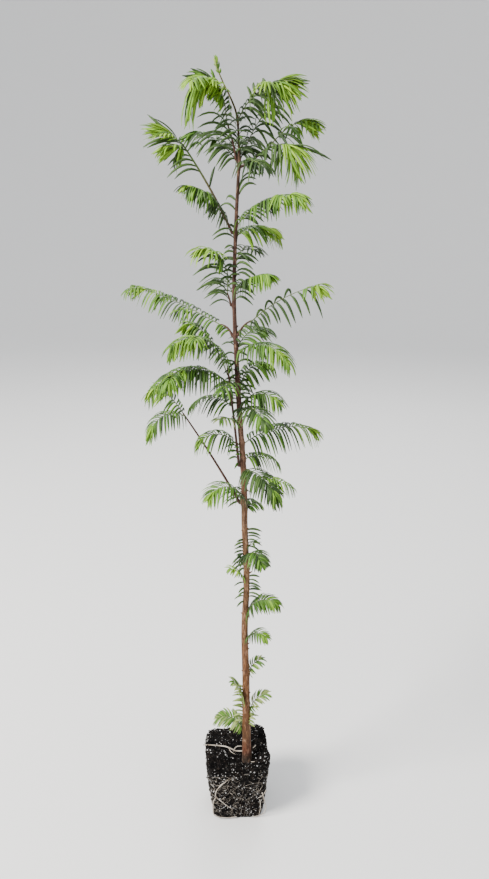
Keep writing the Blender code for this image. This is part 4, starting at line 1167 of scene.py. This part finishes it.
def finishBark(name, work, paint, nodes):
    piece = smoothPiece(name, work, paint)
    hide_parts(*nodes)
    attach(piece, "root")


knots = [(row[1], row[2]) for row in sprays.values() if row[0] == "trunk"]
knots += [(row[0], row[1]) for row in boughs.values()]


def knotSwell(centre, way):
    # the bark thickens a little round the foot of each stem and bough
    swell = 0.0
    for height, azimuth in knots:
        rise = centre.z - height
        if abs(rise) < trunk["knotReach"]:
            facing = max(0.0, way.dot(heading(azimuth, 0)))
            swell += trunk["knot"] * math.exp(-(rise / trunk["knotHeight"]) ** 2) * facing**3
    return swell


soilLine = trunk["line"][0][0]
low = soilLine - trunk["sunk"]
trunkHeights = [low + (topHeight - low) * k / trunk["rings"] for k in range(trunk["rings"] + 1)]


def trunkLobes(k, turn, centre, way):
    # the flare of the roots, an oval section and the knots
    height = trunkHeights[k]
    fade = max(0.0, 1.0 - max(0.0, height - soilLine) / trunk["flareHeight"])
    lobe = (1 - trunk["lobeDepth"]) + trunk["lobeDepth"] * math.cos(trunk["flareLobes"] * turn)
    flare = trunk["flareSpread"] * fade**2 * lobe
    oval = trunk["oval"] * math.cos(2 * turn + height * trunk["ovalTwist"])
    return 1.0 + flare + oval + knotSwell(centre, way) / trunkRadius(height)


work = bmesh.new()
barkTube(work, [trunkCentre(h) + Vector((0, 0, min(0.0, h - soilLine))) for h in trunkHeights],
         [trunkRadius(h) for h in trunkHeights], trunk["sides"], trunk["furrow"], trunkLobes)
for height, azimuth, length in buds:
    # a bud or the stub of a shed twig
    way = heading(azimuth, budShape["rise"])
    foot = insideTrunk(height, azimuth, budShape["sunk"])
    barkTube(work, [foot + way * length * t for t in budShape["along"]], budShape["radii"],
             budShape["sides"], budShape["furrow"])
finishBark("trunk_bark", work, barkPaint, ["trunk"])

boughBark = {
    "sides": 14,
    "furrow": 0.00009,
    "ringGap": 0.0012,
    "collar": (0.20, 0.003),  # how much thicker a bough is at its foot, and over what length
    "joint": (0.06, 0.0045),  # and at its joints, and how far they are apart
    "green": 0.25,  # how green a bough is at its tip, from 0 to 1, where no row says it
    "greener": {"bough_left_crown": 1.3, "bough_right_crown": 0.9, "bough_left_long": 0.6,
                "bough_right_long": 0.6},
}
work = bmesh.new()
for name, limb in boughLimbs.items():
    height, azimuth, length, rise, fall, thick, thin = boughs[name]
    count = max(12, int(length / boughBark["ringGap"]))
    inside = insideTrunk(height, azimuth, 0.3) - limb.direction(0) * 0.0006
    centres = [inside, inside.lerp(limb.points[0], 0.55)] + [limb.at(k / count) for k in range(count + 1)]
    radii = [thick * 0.62, thick * 0.60]
    swell, over = boughBark["collar"]
    bulge, gap = boughBark["joint"]
    for k in range(count + 1):
        share = k / count
        collar = swell * math.exp(-(share * length / over) ** 2)
        joint = bulge * math.sin(share * length / gap * math.pi) ** 8
        radii.append((thick + (thin - thick) * share) / 2 * (1.0 + collar + joint))
    green = boughBark["greener"].get(name, boughBark["green"])
    tones = [green * k / (count + 2) for k in range(count + 3)]
    barkTube(work, centres, radii, boughBark["sides"], boughBark["furrow"], tones=tones)
finishBark("bough_bark", work, boughPaint, list(boughs))
print("bark made")

# Root ball

plug = {
    "height": 0.062, "topHalf": 0.0310, "footHalf": 0.0245, "corner": 5.0, "turn": 4.0,
    "sides": 168, "levels": 64, "soilRings": 26,
    "soilHeight": 0.0540, "seat": 0.0036, "soilCurve": 1.4,
    "lumps": 0.0013, "crumbs": 0.0008, "lumpScale": 150, "crumbScale": 620,
    "topRough": 1.3, "soilRough": 1.5,
    "wave": 0.016, "footWear": 0.030, "rimWear": 0.045,
    "heap": 0.0036, "heapPlace": (0.020, 0.027), "heapSpread": 0.012,
    "phase": random.Random(11).uniform(0, 6),
}


def plugHalf(height):
    return plug["footHalf"] + (plug["topHalf"] - plug["footHalf"]) * height / plug["height"]


def plugReach(height, turn):
    share = height / plug["height"]
    power = plug["corner"]
    corner = (abs(math.cos(turn)) ** power + abs(math.sin(turn)) ** power) ** (-1 / power)
    phase = plug["phase"]
    wave = 0.45 * math.sin(3 * turn + phase + 14 * share) + 0.35 * math.sin(7 * turn - 2 * phase + 23 * share)
    edge = 1.0 - plug["footWear"] * max(0.0, 1 - share * 22) ** 2
    edge -= plug["rimWear"] * max(0.0, 1 - (1 - share) * 14) ** 2
    return plugHalf(height) * corner * (1 + plug["wave"] * wave) * edge


def rough(place):
    # lumps and crumbs of the peat, as a height
    lump = noise.noise(place * plug["lumpScale"]) * plug["lumps"]
    crumb = noise.noise(place * plug["crumbScale"]) * plug["crumbs"]
    return lump + crumb


def plugSkin(height, turn, lift=0.0):
    twist = math.radians(plug["turn"])
    reach = plugReach(height, turn)
    flat = Vector((math.cos(turn + twist), math.sin(turn + twist), 0))
    place = flat * reach + up * height
    return place + flat * (rough(place) + lift)


def heap(x, y):
    # the soil is heaped up a little at the back, right of the trunk
    away = (Vector((x, y)) - Vector(plug["heapPlace"])).length
    return plug["heap"] * math.exp(-(away / plug["heapSpread"]) ** 2)


def soilSink(share):
    # the soil sinks from the rim to the trunk
    return (plug["soilHeight"] - plug["height"]) * share ** plug["soilCurve"]


def onSoil(x, y):
    # a place on the soil's top, for a root
    away = (Vector((x, y)) - Vector((trunk["line"][0][1], trunk["y"]))).length
    share = max(0.0, 1.0 - away / plug["topHalf"])
    return Vector((x, y, plug["height"] - 0.0006 + soilSink(share) + heap(x, y) + 0.0005))


def onFront(x, z):
    # and on the plug's front
    c = math.cos(math.radians(plug["turn"]))
    s = math.sin(math.radians(plug["turn"]))
    depth = plugHalf(z) + 0.0003
    return Vector((x * c + depth * s, x * s - depth * c, z))


def sideRing(k):
    height = plug["height"] * k / plug["levels"]
    ring = []
    for s in range(plug["sides"]):
        place = plugSkin(height, 2 * math.pi * s / plug["sides"])
        if k == 0:
            place.z = 0.0
        if k == plug["levels"]:
            place.z += rough(place * 1.3 + up) * plug["topRough"]
        place.z += heap(place.x, place.y) * (height / plug["height"]) ** 6
        ring.append(place)
    return ring


def soilRing(rim, share):
    seat = Vector((trunk["line"][0][1], trunk["y"], 0))
    ring = []
    for edge in rim:
        edge = Vector((edge.x, edge.y, 0))
        place = edge.lerp(seat + (edge - seat).normalized() * plug["seat"], share)
        place.z = plug["height"] + soilSink(share)
        place.z += rough(place * 1.3 + up) * plug["soilRough"] + heap(place.x, place.y)
        ring.append(place)
    return ring


rings = [sideRing(k) for k in range(plug["levels"] + 1)]
rim = rings[-1]
rings += [soilRing(rim, k / plug["soilRings"]) for k in range(1, plug["soilRings"] + 1)]
work = bmesh.new()
joinRings(work, [[work.verts.new(place) for place in ring] for ring in rings])
peat = smoothPiece("peat_plug", work, peatPaint)


def scatterOnPeat(name, density, smallest, largest, seed, paint):
    # only the sides and the top carry grains, so the plug still stands flat
    source = peat.data.copy()
    work = bmesh.new()
    work.from_mesh(source)
    low = [face for face in work.faces if face.calc_center_median().z < largest * 1.2]
    bmesh.ops.delete(work, geom=low, context="FACES")
    work.to_mesh(source)
    work.free()
    return runTree(name, source, grainTree, {
        "Density": density, "Smallest": smallest, "Largest": largest, "Seed": seed, "Material": paint})


perM2 = 150000
perlite = scatterOnPeat("perlite", perM2, 0.00009, 0.00085, 3, grainPaint["perlite"])
crumbs = scatterOnPeat("peat_crumbs", perM2, 0.0003, 0.0015, 8, grainPaint["crumb"])

# Roots: places on the front as (x, height) or on the soil as (x, y), then the thickness at both ends
mainRoots = {
    "soil": (
        (((0.006, 0.001), (-0.001, 0.0), (-0.006, 0.0015), (-0.012, 0.003), (-0.024, 0.0036),
          (-0.0335, 0.004)),
         0.0014, 0.001),
        (((-0.003, 0.001), (0.0, 0.005), (0.005, 0.006)), 0.001, 0.0007),
        (((-0.008, 0.002), (-0.006, -0.002), (-0.002, -0.004)), 0.0007, 0.0005),
        (((0.016, 0.004), (0.022, 0.008), (0.028, 0.006), (0.03, 0.001)), 0.0008, 0.0005),
        (((0.014, -0.012), (0.02, -0.014), (0.026, -0.018)), 0.0008, 0.0004),
    ),
    "front": (
        (((-0.01, 0.053), (-0.013, 0.0495), (-0.017, 0.0455), (-0.0215, 0.038), (-0.0218, 0.031),
          (-0.018, 0.026), (-0.0125, 0.0195), (-0.0065, 0.0135)), 0.0012, 0.0006),
        (((-0.0218, 0.03), (-0.0244, 0.024), (-0.0248, 0.0135), (-0.0235, 0.0065), (-0.018, 0.0032),
          (-0.01, 0.0018), (-0.002, 0.0026)), 0.001, 0.0007),
        (((0.0225, 0.033), (0.025, 0.0225), (0.0262, 0.0125), (0.0245, 0.0055), (0.019, 0.0022),
          (0.013, 0.0014)), 0.001, 0.0006),
        (((0.0206, 0.0235), (0.0212, 0.013), (0.02, 0.004)), 0.0008, 0.0005),
        (((0.0262, 0.036), (0.0235, 0.03), (0.019, 0.0265)), 0.0008, 0.0004),
        (((-0.0265, 0.048), (-0.0235, 0.043), (-0.0235, 0.0375)), 0.0006, 0.0003),
    ),
}


def smoothLine(knots, steps):
    # a curve through the knots, with this many steps from each to the next
    line = []
    last = len(knots) - 1
    for k in range(steps * last + 1):
        i = min(k // steps, last - 1)
        t = k / steps - i
        a, b, c, d = (knots[min(max(i + j, 0), last)] for j in (-1, 0, 1, 2))
        place = 2 * b + (c - a) * t + (2 * a - 5 * b + 4 * c - d) * t**2
        line.append((place + (3 * b - a - 3 * c + d) * t**3) / 2)
    return line


rootLines = Lines()
for side, placeOn in (("soil", onSoil), ("front", onFront)):
    for places, thick, thin in mainRoots[side]:
        line = smoothLine([placeOn(*place) for place in places], 7)
        last = len(line) - 1
        rootLines.add(line, [(thick + (thin - thick) * k / last) / 2 for k in range(last + 1)])

fineRoots = {
    "seed": 21, "count": 330, "steps": (7, 22), "step": 0.0011, "half": 0.00013, "sizes": (0.6, 1.8),
    "from": (0.006, 0.058),  # heights at which they start
    "within": (0.0015, 0.0605),  # and beyond which they end
    "down": (-2.6, -0.5),  # the course of most of them, in radians
    "downShare": 0.6,
    "wander": 0.45,
    "plugRadius": 0.030,
    "lift": 0.0001,
    "wave": 0.0002,
}
hairLines = Lines()
dice = random.Random(fineRoots["seed"])
for n in range(fineRoots["count"]):
    # a thin root that wanders over the plug's sides
    turn = dice.uniform(0, 2 * math.pi)
    height = dice.uniform(*fineRoots["from"])
    course = dice.uniform(*(fineRoots["down"] if dice.random() < fineRoots["downShare"] else (0, 6.28)))
    line = []
    for k in range(dice.randint(*fineRoots["steps"])):
        course += dice.gauss(0, fineRoots["wander"])
        height += math.sin(course) * fineRoots["step"]
        turn += math.cos(course) * fineRoots["step"] / fineRoots["plugRadius"]
        if not fineRoots["within"][0] < height < fineRoots["within"][1]:
            break
        line.append(plugSkin(height, turn, fineRoots["lift"] + fineRoots["wave"] * math.sin(k * 0.9 + n)))
    if len(line) > 5:
        half = fineRoots["half"] * dice.uniform(*fineRoots["sizes"])
        hairLines.add(line, [half * (1 - 0.6 * k / len(line)) for k in range(len(line))])
roots = runTree("main_roots", rootLines.mesh(), twigTree, {"Sides": 7, "Material": grainPaint["main_root"]})
hairs = runTree("fine_roots", hairLines.mesh(), twigTree, {"Sides": 5, "Material": grainPaint["hair_root"]})

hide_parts("root_ball")
for piece in (peat, perlite, crumbs, roots, hairs):
    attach(piece, "root")
print("root ball made")

# Floor and daylight

cove = {
    "radius": 6.0, "bend": 3.0, "wall": 5.5, "sides": 96, "bendSteps": 16, "rings": (0.05, 0.2, 0.5),
    "colour": (0.74, 0.735, 0.725, 1), "rough": 0.85, "shine": 0.1,
}
daylight = {"Color": (0.92, 0.95, 1.0, 1), "Strength": 1.4}


def makeCove():
    # a round studio floor whose rim bends up into a pale wall, so no edge shows from any side
    profile = [(cove["radius"] * share, 0.0) for share in cove["rings"]]
    for k in range(cove["bendSteps"] + 1):
        turn = math.pi / 2 * k / cove["bendSteps"]
        reach = cove["radius"] - cove["bend"] * (1 - math.sin(turn))
        profile.append((reach, cove["bend"] * (1 - math.cos(turn))))
    profile.append((cove["radius"], cove["wall"]))
    sides = cove["sides"]
    turns = [2 * math.pi * s / sides for s in range(sides)]
    points = [(0, 0, 0)]
    for reach, height in profile:
        points += [(reach * math.cos(turn), reach * math.sin(turn), height) for turn in turns]
    faces = [(0, 1 + s, 1 + (s + 1) % sides) for s in range(sides)]
    for k in range(len(profile) - 1):
        low = 1 + k * sides
        high = low + sides
        faces += [(low + s, high + s, high + (s + 1) % sides, low + (s + 1) % sides) for s in range(sides)]
    mesh = bpy.data.meshes.new("studio_floor")
    mesh.from_pydata(points, [], faces)
    mesh.shade_smooth()
    paint, tree = newMaterial("studio_floor")
    finishMaterial(tree, cove["colour"], cove["rough"], cove["shine"])
    mesh.materials.append(paint)
    linkObject("studio_floor", mesh)


makeCove()
world = bpy.data.worlds.new("daylight")
bpy.context.scene.world = world
world.use_nodes = True
for label, value in daylight.items():
    world.node_tree.nodes["Background"].inputs[label].default_value = value
